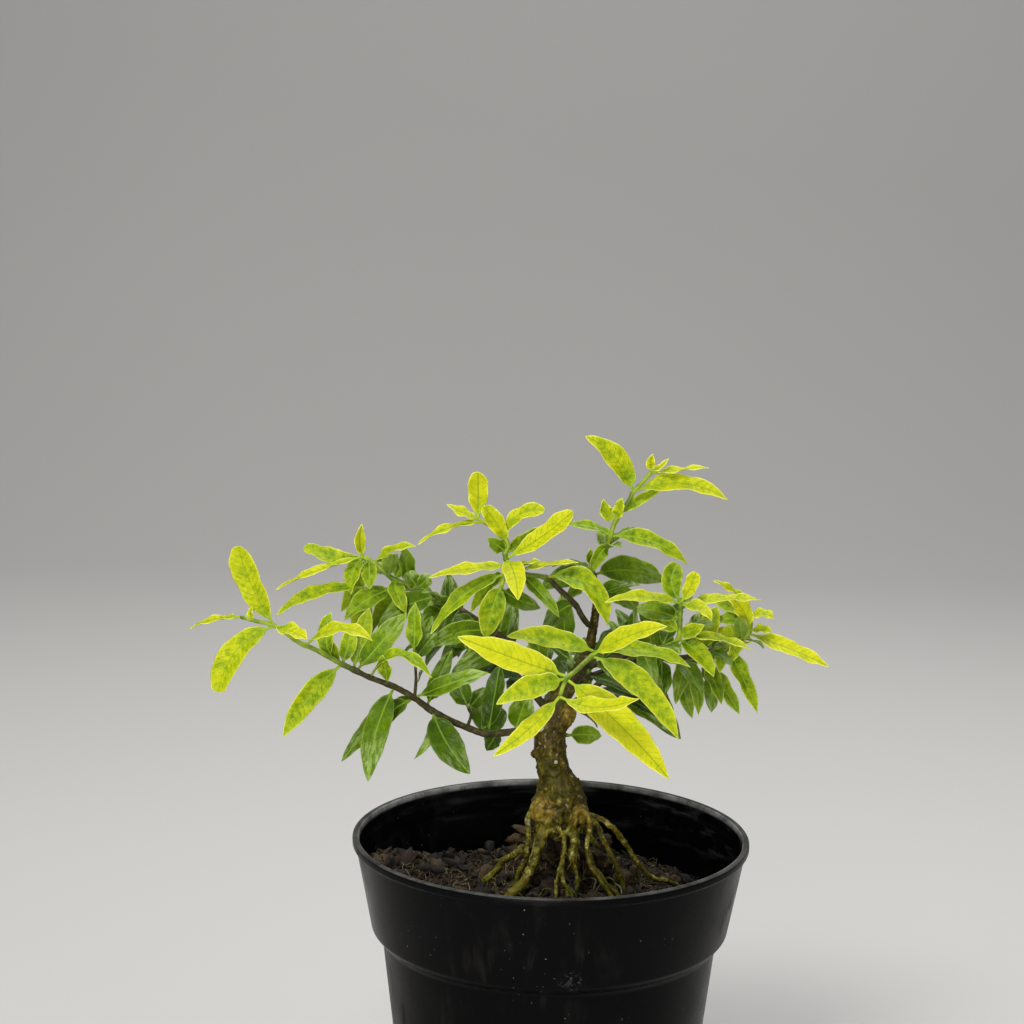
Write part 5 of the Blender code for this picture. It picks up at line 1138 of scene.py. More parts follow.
def root_paths():
    """The same roots as the solids, each with the run that goes on below the soil."""
    for path, first, last in ROOTS:
        below = [tuple(2 * np.array(path[-1]) - np.array(path[-2]))]
        if path[-1][2] > SOIL_EDGE_HEIGHT + MOUND_HEIGHT:
            below = []
        yield path + below, first, last


def through_rows(rows, steps, sides, share=1.0):
    """A tube through rows of x, y, z and radius. The radius is multiplied by the share."""
    places, points = samples([row[:3] for row in rows], steps)
    radii = np.interp(places, np.arange(len(rows)), [row[3] for row in rows])
    return tube(points, radii * share, sides)


def wood_solids():
    """Coarse trunk, stubs and roots, as in the solids, for keeping leaves clear of them."""
    radii = [row[3] for row in TRUNK]

    def knobbly(i, angles):
        waves = np.sin(3 * angles + 1.7 * i) + 0.6 * np.sin(5 * angles - 2.3 * i)
        return 1 + KNOB * waves * min(1, radii[i] / 4)

    meshes = [tube([row[:3] for row in TRUNK], radii, TRUNK_SIDES, knobbly)]
    meshes += [tube([row[:3] for row in stub], [row[3] for row in stub], STUB_SIDES) for stub in STUBS]
    meshes += [tapered(path, first, last, 1, ROOT_SIDES) for path, first, last in root_paths()]
    return meshes


# The small added pairs try only the first of the bends, and run from old to less old along the twig
FEWER_BENDS = 17
OLD_PAIR = 0.78
PAIR_AGES = 0.3
# Leaves without an age of their own run from old to less old along the branch
OLD_LEAF = 0.95
LEAF_AGES = 0.5
AGE_SPREAD = 0.08
# How quickly bark gives way to green along a main twig, as a share for each of its points
BARK_FADE = 0.35
# Seeds of the small differences
LEAF_SEED = 7
WOOD_SEED = 5
ROOTLET_SEED = 12
FIBRE_SEED = 21


def leaf_rows(wood):
    """Every branch's leaves where the solids have them, by the same bending rule, then the small ones."""
    trees = {name: [tree(mesh) for mesh in twig_tubes(branch, wood)] for name, branch in BRANCHES.items()}
    placed = {name: [] for name in BRANCHES}

    def settle(name, leaf, age, bends, is_clear):
        """Bend a leaf until it is clear, and give the region that it takes up."""
        for lift, swing in bends:
            moved = bent(leaf, lift, swing)
            outer = blade_slab(moved, start=OUTER_START)
            if is_clear(moved, outer):
                trees[name].append(tree(blade_slab(moved)))
                placed[name].append((moved, age))
                return outer
        return None

    for name, branch in BRANCHES.items():
        own = list(trees[name])
        ages = dict(enumerate(AGES.get(name, [])))
        others = wood + [t for other, ts in trees.items() if other != name for t in ts]

        def clear_of_all(moved, outer):
            return not touches(blade_slab(moved, BLADE + 2 * GAP, GAP), others) and not touches(outer, own)

        for k, leaf in enumerate([*photographed_leaves(branch), *paired_leaves(branch)]):
            outer = settle(name, leaf, ages.get(k), BENDS, clear_of_all)
            if outer:
                own.append(tree(outer))
    for name, row in MORE_PAIRS.items():
        taken = wood + [t for ts in trees.values() for t in ts]
        for k, leaf in enumerate(paired_leaves({"twigs": BRANCHES[name]["twigs"], "pairs": [row]})):
            age = OLD_PAIR - PAIR_AGES * k / (2 * row[3] - 1)
            if settle(name, leaf, age, BENDS[:FEWER_BENDS], lambda moved, outer: not touches(outer, taken)):
                taken.append(trees[name][-1])
    for name, twig, node, tip, bulge, width, face, age in MORE_LEAVES:
        row = {"twigs": BRANCHES[name]["twigs"], "leaves": [(twig, node, tip, bulge, width, face)]}
        placed[name].append((next(photographed_leaves(row)), age))
    return placed


def make_branches(leaf_skin, stem_skin):
    wood = [tree(mesh) for mesh in wood_solids()]
    draw = np.random.default_rng(LEAF_SEED)
    faces = leaf_faces()
    for name, leaves in leaf_rows(wood).items():
        foliage = Gathered()
        for k, (leaf, age) in enumerate(leaves):
            if age is None:
                age = OLD_LEAF - LEAF_AGES * k / max(1, len(leaves) - 1)
                age += draw.uniform(-AGE_SPREAD, AGE_SPREAD)
            points, values = fine_leaf(leaf, age, draw)
            foliage.take(points, faces, **values)
        foliage.make(name + "_leaves", leaf_skin, "leaf", (name,))

        stem = Gathered()
        branch = BRANCHES[name]
        for k, (path, first, last) in enumerate(branch["twigs"]):
            collars = sorted({row[1] for row in branch["leaves"] if row[0] == k})
            points, skin, shares = fine_tube(path, first, last, collars)
            woody = np.clip(0.5 + (GREEN_FROM[name] - shares) * BARK_FADE, 0, 1)
            if k > 0:
                woody = SIDE_TWIG_WOOD.get(name, 0.0)
            stem.take(points + STEM_ROUGHNESS * wobble(points, 0.9)[:, None], skin, woody=woody)
        stem.make(name + "_stem", stem_skin, "bark")


# Golden burls on the wood: (x, y, z, reach)
BURLS = [(-2.4, -6.0, 96.6, 4.2), (7.2, -4.0, 95.0, 3.6), (4.4, -4.0, 121.5, 3.2)]
# Pits pressed into the wood, with painted shade inside: (x, y, z, reach, depth)
PITS = [(0.7, -4.2, 107.0, 1.0, 0.8), (3.6, -6.2, 95.6, 1.0, 2.0), (3.5, -6.8, 93.0, 1.1, 1.8)]
# Lumps raised on the wood: (x, y, z, reach, height)
LUMPS = [(1.1, -4.2, 108.9, 0.75, 0.7), (-2.9, -2.8, 117.7, 1.0, 0.9), (-2.2, -3.4, 118.6, 0.6, 0.5),
         (4.6, -3.6, 120.4, 0.9, 0.5), (3.9, -4.4, 121.9, 0.7, 0.4)]
# Pale spots painted on the wood where glints of light show: (x, y, z, reach)
GLINT_SPOTS = [(-3.1, -2.9, 117.6, 1.35), (-2.4, -3.6, 118.5, 0.8), (1.1, -4.8, 109.0, 0.7),
         (-0.5, -7.4, 98.7, 0.6)]
# Small knots, first round the root crown and then up the trunk: how many, between which heights, where the
# middle of the wood is and how far out its surface, each as heights and values, radii, and how tall they are
KNOTS = [(34, (90.5, 101.5), ([90], [2.1]), ([90, 94, 97.5, 100.5, 104.5], [4.6, 5.8, 6.0, 5.0, 4.1]),
          (0.7, 1.7), (0.7, 1.2)),
         (16, (100, 121), ([100.5, 104.5, 109, 113.5, 117.5, 121.5], [2.4, 0.9, -0.3, -0.7, -0.5, 0.6]),
          ([100.5, 104.5, 113.5, 121.5], [5.0, 4.0, 3.8, 3.3]), (0.35, 0.75), (1.0, 2.4))]
# Thin roots that creep down over the crown: how many, points to each, sides, the heights that they start at,
# how far down and round they run, their radii, and the crown's reach at heights
STRANDS = 64
STRAND_POINTS = 12
STRAND_SIDES = 8
STRAND_STARTS = (94.0, 103.5)
STRAND_DROPS = (4.0, 9.0)
STRAND_TURN = 0.9
STRAND_RADII = (0.26, 0.48)
STRAND_REACH = ([86, 90, 94, 97.5, 100.5, 104.5], [4.8, 6.0, 6.7, 6.7, 5.4, 4.3])
CROWN_MIDDLE = 2.1
# Rings to each stretch and sides of the fine trunk, stubs and roots
FINE_TRUNK = (6, 32)
FINE_STUB = (4, 18)
FINE_ROOT = (7, 12)
# The trunk is this share of the solids' radius below its bark
TRUNK_SLIMNESS = 0.97
# How far a root sways off its path, after its first few rings, and its swellings: height and noise scale
ROOT_SWAY = 0.55
SWAY_START = 3
ROOT_SWELLINGS = ((0.14, 0.6), (0.10, 1.7))
# Shapes closer together than this, in metres, melt into one body
MELT_SIZE = 0.00027
# Height of the bark's relief on roots, how much more it is on the trunk, and that of its finer parts
ROOT_RELIEF = 0.15
TRUNK_RELIEF = 0.30
GRIT = 0.15
GRAIN = 0.10
WARTS = 0.10


def ball(centre, radius, squash=(1, 1, 1), rings=8, sides=12):
    verts, faces = [], []
    for i in range(rings + 1):
        a = np.pi * i / rings
        for k in range(sides):
            b = 2 * np.pi * k / sides
            way = np.array([np.sin(a) * np.cos(b), np.sin(a) * np.sin(b), np.cos(a)])
            verts.append(way * radius * squash + centre)
    for i in range(rings):
        for k in range(sides):
            a, b = i * sides + k, i * sides + (k + 1) % sides
            faces.append((a, a + sides, b + sides, b))
    return np.array(verts), faces


def beside(middle, reach, angle, z):
    """The point at an angle round the wood, reach away from its middle."""
    return np.array([middle + reach * np.cos(angle), reach * np.sin(angle), z])


def crown_strand(draw):
    """A thin root that creeps down over the root crown."""
    angle = draw.uniform(0, 2 * np.pi)
    z = draw.uniform(*STRAND_STARTS)
    drop = draw.uniform(*STRAND_DROPS)
    turn = draw.uniform(-STRAND_TURN, STRAND_TURN)
    points = []
    for s in np.linspace(0, 1, STRAND_POINTS):
        a = angle + turn * s + 0.14 * np.sin(9 * s + 5 * angle)
        height = z - drop * s
        points.append(beside(CROWN_MIDDLE, np.interp(height, *STRAND_REACH), a, height))
    return tube(points, np.full(STRAND_POINTS, draw.uniform(*STRAND_RADII)), STRAND_SIDES)


def wood_core():
    """Trunk, stubs, roots, knots and strands melted into one even mesh."""
    draw = np.random.default_rng(WOOD_SEED)
    core = Gathered()
    core.take(*through_rows(TRUNK, *FINE_TRUNK, TRUNK_SLIMNESS))
    for stub in STUBS:
        core.take(*through_rows(stub, *FINE_STUB))
    steps, sides = FINE_ROOT
    for path, first, last in root_paths():
        shares, points = samples(path, steps)
        sway = np.stack([wobble(points, 0.35, (7 * axis, 0, 3)) for axis in range(3)], 1)
        sway[:SWAY_START] = 0
        points = points + ROOT_SWAY * sway
        girth = np.linspace(first, last, len(shares))
        for height, scale in ROOT_SWELLINGS:
            girth = girth * (1 + height * wobble(points, scale))
        core.take(*tube(points, girth, sides))
    for number, heights, middle, reach, radii, tall in KNOTS:
        for _ in range(number):
            angle, z = draw.uniform(0, 2 * np.pi), draw.uniform(*heights)
            centre = beside(np.interp(z, *middle), np.interp(z, *reach), angle, z)
            core.take(*ball(centre, draw.uniform(*radii), (1, 1, draw.uniform(*tall))))
    for _ in range(STRANDS):
        core.take(*crown_strand(draw))
    obj = new_object("wood_core", new_mesh("wood_core", core.points() * MM, core.faces))
    remesh = obj.modifiers.new("melt", "REMESH")
    remesh.mode = "VOXEL"
    remesh.voxel_size = MELT_SIZE
    even = obj.modifiers.new("even", "SMOOTH")
    even.factor = 0.5
    even.iterations = 3
    result = worked(obj)
    bpy.data.objects.remove(obj)
    return result


def vertex_rows(mesh, key):
    rows = np.empty(len(mesh.vertices) * 3, dtype=np.float32)
    mesh.vertices.foreach_get(key, rows)
    return rows.reshape(-1, 3).astype(float)


def apart(place, spot, stretch):
    """How far the places are from a spot, each direction weighed by the stretch."""
    return np.linalg.norm((place - np.array(spot)) * np.array(stretch), axis=1)


def bark_relief(place, root, thin):
    """How far bark rises, in millimetres, and how far into a pit each place lies, where shade is painted
    later. Thin wood has less relief.
    """
    coarse = np.array([noise.fractal(Vector(p), 1.0, 2.0, 4) for p in place * (0.5, 0.5, 0.28)])
    ridge = wobble(place * (1.5, 1.5, 0.34) + (0, 0, 9), 1.0)
    warts = wobble(place, 1.15, (4, 2, 8))
    strength = ROOT_RELIEF + TRUNK_RELIEF * thin * (1 - root)
    relief = strength * (0.75 * coarse + 0.30 * (0.35 - np.abs(ridge)) * 2)
    relief = relief + GRIT * wobble(place, 2.4) + GRAIN * wobble(place * (4.2, 4.2, 3.2), 1.0)
    relief = relief + WARTS * root * (np.maximum(warts, 0) - 0.12)
    pit = np.zeros(len(place))
    for *spot, reach, depth in PITS:
        gap = apart(place, spot, (1.0, 0.5, 0.8))
        dip = np.exp(-(gap / (0.75 * reach)) ** 2)
        relief = relief - depth * dip + 0.3 * depth * np.exp(-((gap - 1.25 * reach) / (0.4 * reach)) ** 2)
        pit = np.maximum(pit, smooth(dip, 0.25, 0.8))
    for *spot, reach, rise in LUMPS:
        relief = relief + rise * np.exp(-(apart(place, spot, (1.0, 0.6, 0.9)) / reach) ** 2)
    return relief, pit


def make_wood(skin):
    """Trunk, burls and roots as one body, roughened like bark."""
    result = wood_core()
    place = vertex_rows(result, "co") / MM
    middle, _, height, radius = np.array(TRUNK).T
    trunk_radius = np.interp(place[:, 2], height, radius)
    away = np.hypot(place[:, 0] - np.interp(place[:, 2], height, middle), place[:, 1])
    root = smooth(away, trunk_radius + 0.2, trunk_radius + 1.8) * smooth(100 - place[:, 2], 0, 6)
    root = np.maximum(root, smooth(92 - place[:, 2], 0, 5))
    relief, pit = bark_relief(place, root, smooth(trunk_radius, 1.0, 3.5))
    place = place + vertex_rows(result, "normal") * relief[:, None]
    result.vertices.foreach_set("co", (place * MM).astype(np.float32).ravel())
    result.update()
    obj = new_object("trunk_and_roots", result)
    result.materials.clear()
    result.materials.append(skin)
    result.shade_smooth()
    add_attribute(obj, "root", root)
    # Painted shade in sunken bark and inside the pits
    add_attribute(obj, "deep", np.maximum(0.7 * smooth(-relief, 0.10, 0.34), pit))
    # Burl tint, and the pale spots that are painted highlights on the wood
    for name, spots in (("burl", BURLS), ("scar", GLINT_SPOTS)):
        value = np.zeros(len(place))
        for *spot, reach in spots:
            value = np.maximum(value, smooth(reach - apart(place, spot, (1.0, 0.6, 1.0)), 0, 0.45 * reach))
        add_attribute(obj, name, value)
    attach(obj, "root")
    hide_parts("wood")


# Heights and radii of the pot's section that the soil follows too
BAND_FOOT_HEIGHT = POT_HEIGHT - BAND_HEIGHT
SHOULDER_HEIGHT = BAND_FOOT_HEIGHT - SHOULDER_DROP
INNER_STEP = 0.8
KNEE_RADIUS = RIM_RADIUS - 3.2
KNEE_HEIGHT = POT_HEIGHT - 9.4
# The soil's reach is worked out for this distance from the middle, which is near the wall
NEAR_WALL = 44.5
SOIL_WALL_GAP = 0.4
SOIL_SIDES = 120
SOIL_RINGS = 44
SOIL_ROUGHNESS = 0.7
CRUMBLE = 0.35


def soil_height(x, y):
    mound = MOUND_HEIGHT * np.exp(-(x ** 2 + y ** 2) / MOUND_RADIUS ** 2)
    bank = BANK_HEIGHT * np.exp(-((x - BANK_PLACE[0]) ** 2 + (y - BANK_PLACE[1]) ** 2) / BANK_REACH ** 2)
    off = ((x - CLOD_PLACE[0]) / CLOD_REACH[0]) ** 2 + ((y - CLOD_PLACE[1]) / CLOD_REACH[1]) ** 2
    clod = CLOD_HEIGHT * np.exp(-off ** 2)
    crumbs = np.sin(1.9 * x + 0.7 * y) + np.sin(2.3 * y - 0.9 * x + 1)
    crumbs = crumbs + 0.7 * np.sin(0.6 * x * np.sign(y) + 1.1 * y)
    return SOIL_EDGE_HEIGHT + mound + bank + clod + CRUMBLE * crumbs


def soil_reach(angle):
    """How far from the middle the soil reaches: the pot's wall, which opens out towards the bank."""
    level = soil_height(NEAR_WALL * np.cos(angle), NEAR_WALL * np.sin(angle)) - 2
    heights = [BAND_FOOT_HEIGHT + INNER_STEP, KNEE_HEIGHT]
    return np.interp(level, heights, [BAND_FOOT_RADIUS - WALL, KNEE_RADIUS]) - SOIL_WALL_GAP


def make_soil_bed(skin):
    """The potting mix from the pot's floor to its rough top."""
    angles = np.linspace(0, 2 * np.pi, SOIL_SIDES, endpoint=False)
    reach = soil_reach(angles)
    rows = []
    for ring in range(1, SOIL_RINGS + 1):
        x, y = reach * ring / SOIL_RINGS * np.cos(angles), reach * ring / SOIL_RINGS * np.sin(angles)
        spots = [Vector((float(a) * 0.6, float(b) * 0.6, 2.0)) for a, b in zip(x, y)]
        rough = SOIL_ROUGHNESS * np.array([noise.fractal(spot, 1.0, 2.0, 4) for spot in spots])
        rows.append(np.stack([x, y, soil_height(x, y) - 0.3 + rough * (ring < SOIL_RINGS)], -1))
    foot = FLOOR + GAP
    for z, radius in ((SHOULDER_HEIGHT - INNER_STEP, BODY_TOP_RADIUS - WALL - SOIL_WALL_GAP),
                      (foot, FOOT_RADIUS + 0.4 - WALL)):
        rows.append(np.stack([radius * np.cos(angles), radius * np.sin(angles), np.full(SOIL_SIDES, z)], -1))
    verts = np.concatenate([[(0.0, 0.0, soil_height(0.0, 0.0))], *rows, [(0.0, 0.0, foot)]])
    faces = []
    for k in range(SOIL_SIDES):
        m = (k + 1) % SOIL_SIDES
        faces.append((0, 1 + k, 1 + m))
        for i in range(len(rows) - 1):
            a, b = 1 + i * SOIL_SIDES + k, 1 + i * SOIL_SIDES + m
            faces.append((a, a + SOIL_SIDES, b + SOIL_SIDES, b))
        a = 1 + (len(rows) - 1) * SOIL_SIDES
        faces.append((a + k, len(verts) - 1, a + m))
    make_piece("soil_bed", verts, faces, skin, "potting_mix", ("soil",))


# Crumbs: name, number, smallest and largest size, fineness of their shape and seed
CRUMBS = [("soil_chunks", 1200, 0.5, 2.4, 2, 3), ("soil_grains", 5200, 0.2, 0.75, 1, 4)]
CRUMB_SHAPES = 40
CRUMB_SPREAD = 44.0
# The higher these powers are, the more crumbs are small, and dark
SMALL_POWER = 2.8
DARK_POWER = 1.15
# Chunks keep to the darker kinds, and crumbs sink in or stand out by these shares of their size
CHUNK_KINDS = 0.9
CRUMB_RISE = (-0.15, 0.55)
# Larger lumps that stand out among the chunks: (x, y, z, size, kind)
LUMPS_OF_SOIL = [(-1.0, -1.5, 76.2, 2.6, 0.84), (0.3, 0.5, 77.6, 1.9, 0.82), (-11.5, 6.0, 75.2, 2.2, 0.86),
                 (22.2, 13.0, 73.6, 2.6, 0.91), (6.5, -4.0, 75.2, 1.7, 0.84), (19.0, 5.0, 75.6, 2.3, 0.8),
                 (14.0, 6.0, 80.0, 2.6, 0.7), (-7.6, 12.0, 86.0, 1.7, 0.79), (-9.2, 11.0, 83.6, 2.0, 0.76),
                 (-5.6, 11.0, 84.0, 1.9, 0.66), (4.0, 4.0, 82.5, 2.4, 0.8), (9.0, 4.5, 83.0, 2.6, 0.6),
                 (-19.0, 2.0, 75.0, 2.0, 0.92), (-24.0, -6.0, 75.6, 2.2, 0.78), (-33.0, -2.0, 77.5, 2.2, 0.8)]


def lump(size, draw, level):
    """One crumb: a small ball pushed out of round."""
    bm = bmesh.new()
    bmesh.ops.create_icosphere(bm, subdivisions=level, radius=1.0)
    verts = np.array([v.co[:] for v in bm.verts])
    faces = [tuple(v.index for v in f.verts) for f in bm.faces]
    bm.free()
    shift = Vector(draw.uniform(-50, 50, 3))
    bulge = 1 + 0.75 * wobble(verts, 1.3, shift) + 0.4 * wobble(verts, 3.1, shift)
    stretch = draw.uniform(0.4, 1.0, 3) * np.array([1.7, 1.0, 0.8])
    turn = np.array(Matrix.Rotation(draw.uniform(0, 6.28), 3, Vector(draw.normal(size=3)).normalized()))
    return (verts * bulge[:, None] * stretch * size) @ turn.T, faces


def make_crumbs(skin, name, number, low, high, level, seed):
    draw = np.random.default_rng(seed)
    stock = [lump(1.0, draw, level) for _ in range(CRUMB_SHAPES)]
    chunks = level > 1
    heap = Gathered()
    for k in range(number):
        radius = CRUMB_SPREAD * np.sqrt(draw.uniform())
        angle = draw.uniform(0, 2 * np.pi)
        size = low + (high - low) * draw.uniform() ** SMALL_POWER
        radius = radius * soil_reach(angle) / NEAR_WALL - size * 0.6
        x, y = radius * np.cos(angle), radius * np.sin(angle)
        spin = draw.uniform(0, 2 * np.pi)
        c, s = np.cos(spin), np.sin(spin)
        verts, faces = stock[k % CRUMB_SHAPES]
        verts = verts @ np.array([[c, s, 0], [-s, c, 0], [0, 0, 1]]) * size
        z = soil_height(x, y) + size * draw.uniform(*CRUMB_RISE)
        kind = draw.uniform() ** DARK_POWER * (CHUNK_KINDS if chunks else 1.0)
        heap.take(verts + np.array([x, y, z]), faces, kind=kind)
    for *place, size, kind in LUMPS_OF_SOIL if chunks else ():
        verts, faces = lump(size, draw, level)
        heap.take(verts + np.array(place), faces, kind=kind)
    heap.make(name, skin, "potting_mix")


# Hair roots: how many, steps to each, length of a step, how far they wander and sink, radii and sides
ROOTLETS = 90
ROOTLET_STEPS = 9
ROOTLET_STEP = (0.5, 0.9)
ROOTLET_WANDER = 0.35
ROOTLET_SINK = 0.32
ROOTLET_RADII = (0.13, 0.05)
HAIR_SIDES = 5
# Pale rootlets: points and radius
PALE_ROOTLETS = [([(7.8, -0.5, 76.4), (10.0, -1.0, 77.6), (11.8, -1.4, 77.2), (11.4, -1.6, 75.2),
                   (10.9, -1.8, 74.0)], 0.22),
                 ([(6.2, -6.0, 83.0), (6.8, -6.4, 80.0), (6.4, -6.8, 77.5), (7.2, -7.0, 75.6)], 0.26),
                 ([(17.0, -2.0, 76.5), (18.2, -2.2, 75.6), (18.6, -2.6, 74.0)], 0.2)]
PALE_POINTS = 16
PALE_SIDES = 8
PALENESS = 0.5


def make_rootlets(skin):
    """Hair roots that hang from the thicker ones and lie on the soil."""
    draw = np.random.default_rng(ROOTLET_SEED)
    hair = Gathered()
    paths = list(root_paths())
    for k in range(ROOTLETS):
        path = paths[k % len(paths)][0]
        points = [spline(path, draw.uniform(0.35, 0.85) * (len(path) - 2))]
        way = unit(draw.normal(size=3) * np.array([1.0, 1.0, 0.35]))
        for _ in range(ROOTLET_STEPS):
            way = unit(way + draw.normal(size=3) * ROOTLET_WANDER + np.array([0, 0, -ROOTLET_SINK]))
            step = points[-1] + way * draw.uniform(*ROOTLET_STEP)
            step[2] = max(step[2], soil_height(step[0], step[1]) + 0.3)
            points.append(step)
        mesh = tube(points, np.linspace(*ROOTLET_RADII, len(points)), HAIR_SIDES)
        hair.take(*mesh, root=1, deep=0, burl=0, scar=0)
    for path, girth in PALE_ROOTLETS:
        points = [spline(path, s) for s in np.linspace(0, len(path) - 1, PALE_POINTS)]
        mesh = tube(points, np.full(PALE_POINTS, girth), PALE_SIDES)
        hair.take(*mesh, root=1, deep=0, burl=0, scar=PALENESS)
    hair.make("rootlets", skin, "bark")


# Fibres: how many, steps to each, how far from the middle, step length, steady and changing turn, height over
# the soil, radii, share left of them at the end, kinds, and the fewest points that make one
FIBRES = 900
FIBRE_STEPS = 10
FIBRE_SPREAD = 42
FIBRE_STEP = (0.4, 1.1)
FIBRE_TURN = 0.5
FIBRE_WANDER = 0.3
FIBRE_LIFT = (0.5, 1.1)
FIBRE_RADII = (0.07, 0.16)
FIBRE_TAPER = 0.6
FIBRE_KINDS = (0.8, 1.0)
FEWEST_POINTS = 4


def make_fibres(skin):
    """Coconut and root fibres on the soil."""
    draw = np.random.default_rng(FIBRE_SEED)
    litter = Gathered()
    for _ in range(FIBRES):
        radius = FIBRE_SPREAD * np.sqrt(draw.uniform())
        angle = draw.uniform(0, 2 * np.pi)
        heading = draw.uniform(0, 2 * np.pi)
        x, y = radius * np.cos(angle), radius * np.sin(angle)
        turn = draw.uniform(-FIBRE_TURN, FIBRE_TURN)
        step = draw.uniform(*FIBRE_STEP)
        points = []
        for _ in range(FIBRE_STEPS):
            heading += turn + draw.uniform(-FIBRE_WANDER, FIBRE_WANDER)
            x, y = x + step * np.cos(heading), y + step * np.sin(heading)
            if np.hypot(x, y) > soil_reach(np.arctan2(y, x)) - 0.8:
                break
            points.append((x, y, soil_height(x, y) + draw.uniform(*FIBRE_LIFT)))
        if len(points) < FEWEST_POINTS:
            continue
        girth = draw.uniform(*FIBRE_RADII)
        mesh = tube(points, np.linspace(girth, FIBRE_TAPER * girth, len(points)), HAIR_SIDES)
        litter.take(*mesh, kind=draw.uniform(*FIBRE_KINDS))
    litter.make("soil_fibres", skin, "potting_mix")


# The pot's section, from the top of the rim down its outside, under its foot and up its inside
POT_SECTION = [
    (RIM_RADIUS - 1.6, POT_HEIGHT), (RIM_RADIUS, POT_HEIGHT), (RIM_RADIUS, POT_HEIGHT - 1.9),
    (RIM_RADIUS - 0.9, POT_HEIGHT - 2.3), (BAND_FOOT_RADIUS + 0.3, BAND_FOOT_HEIGHT + 0.9),
    (BAND_FOOT_RADIUS - 0.4, BAND_FOOT_HEIGHT), (BODY_TOP_RADIUS + 0.5, SHOULDER_HEIGHT + 0.5),
    (BODY_TOP_RADIUS, SHOULDER_HEIGHT - 0.4), (FOOT_RADIUS + 0.8, 2.0), (FOOT_RADIUS, 0.0),
    (FOOT_RADIUS - FOOT_RING, 0.0), (FOOT_RADIUS - FOOT_RING - 0.8, FOOT_RECESS),
    (CENTRE_PAD_RADIUS + 0.8, FOOT_RECESS), (CENTRE_PAD_RADIUS, 0.0), (0.0, 0.0),
    (0.0, FLOOR), (FOOT_RADIUS + 0.8 - WALL, FLOOR), (BODY_TOP_RADIUS - WALL, SHOULDER_HEIGHT - INNER_STEP),
    (BAND_FOOT_RADIUS - WALL, BAND_FOOT_HEIGHT + INNER_STEP), (KNEE_RADIUS, KNEE_HEIGHT),
    (RIM_RADIUS - 2.85, POT_HEIGHT - 8.0), (RIM_RADIUS - 2.5, POT_HEIGHT - 4.6),
    (RIM_RADIUS - 2.1, POT_HEIGHT - 3.6)]
# Middle of the wall at heights, which tells the inside from the outside
WALL_MIDDLE = ([0, SHOULDER_HEIGHT, BAND_FOOT_HEIGHT, POT_HEIGHT - 1.5, POT_HEIGHT],
               [FOOT_RADIUS, BODY_TOP_RADIUS, BAND_FOOT_RADIUS, RIM_RADIUS - 0.9, RIM_RADIUS - 0.7])
CORNER_RADIUS = 0.55
CORNER_SHARE = 0.42
CORNER_POINTS = 5
POT_SEGMENTS = 160
DRAIN_SIDES = 32
# The rim is a little out of round and has one small nick: height, angle before the full turn, half-width
OUT_OF_ROUND = 0.06
NICK = (0.55, 0.16, 0.014)
SHARP_ANGLE = 35


def rounded(points, radius):
    """A section with its corners turned to arcs. Points on the axis stay."""
    pts = [np.array(p, float) for p in points]
    out = []
    for i, p in enumerate(pts):
        before, after = pts[i - 1], pts[(i + 1) % len(pts)]
        if p[0] == 0:
            out.append(p)
            continue
        a, b = before - p, after - p
        la, lb = np.linalg.norm(a), np.linalg.norm(b)
        cut = min(radius, CORNER_SHARE * la, CORNER_SHARE * lb)
        start, end = p + a / la * cut, p + b / lb * cut
        for s in np.linspace(0, 1, CORNER_POINTS):
            out.append((1 - s) ** 2 * start + 2 * s * (1 - s) * p + s * s * end)
    return out


def pot_body():
    """The section turned round the pot's axis."""
    angles = np.linspace(0, 2 * np.pi, POT_SEGMENTS, endpoint=False)
    rise, before, half = NICK
    nick = rise * np.exp(-((angles - 2 * np.pi + before) / half) ** 2)
    verts, rings = [], []
    for radius, z in rounded(POT_SECTION, CORNER_RADIUS):
        if radius == 0:
            rings.append([len(verts)] * POT_SEGMENTS)
            verts.append((0.0, 0.0, z))
            continue
        rings.append(range(len(verts), len(verts) + POT_SEGMENTS))
        reach = radius + OUT_OF_ROUND * np.sin(2 * angles + 0.6) * (z / POT_HEIGHT) ** 3
        up = z + nick * (z > POT_HEIGHT - 1.2)
        verts += np.stack([reach * np.cos(angles), reach * np.sin(angles), up], -1).tolist()
    faces = []
    for upper, lower in zip(rings, rings[1:] + rings[:1]):
        for k in range(POT_SEGMENTS):
            n = (k + 1) % POT_SEGMENTS
            corners = tuple(dict.fromkeys((upper[k], lower[k], lower[n], upper[n])))
            if len(corners) > 2:
                faces.append(corners)
    return verts, faces


def make_pot(skin):
    obj = make_piece("nursery_pot", *pot_body(), skin, "black_plastic", ("pot",))
    drains = Gathered()
    for k in range(DRAIN_HOLES):
        a = 2 * np.pi * (k + 0.5) / DRAIN_HOLES
        x, y = DRAIN_CIRCLE * np.cos(a), DRAIN_CIRCLE * np.sin(a)
        drains.take(*tube([(x, y, -2), (x, y, FLOOR + 2)], [DRAIN_RADIUS] * 2, DRAIN_SIDES))
    cutter = new_object("drain_cut", new_mesh("drain_cut", drains.points() * MM, drains.faces))
    boolean = obj.modifiers.new("drain", "BOOLEAN")
    boolean.object = cutter
    boolean.operation = "DIFFERENCE"
    boolean.solver = "EXACT"
    result = worked(obj)
    obj.modifiers.clear()
    obj.data = result
    bpy.data.objects.remove(cutter)
    result.shade_smooth()
    result.set_sharp_from_angle(angle=np.radians(SHARP_ANGLE))
    place = vertex_rows(result, "co") / MM
    middle = np.interp(place[:, 2], *WALL_MIDDLE)
    add_attribute(obj, "inside", np.hypot(place[:, 0], place[:, 1]) < middle - WALL / 2)


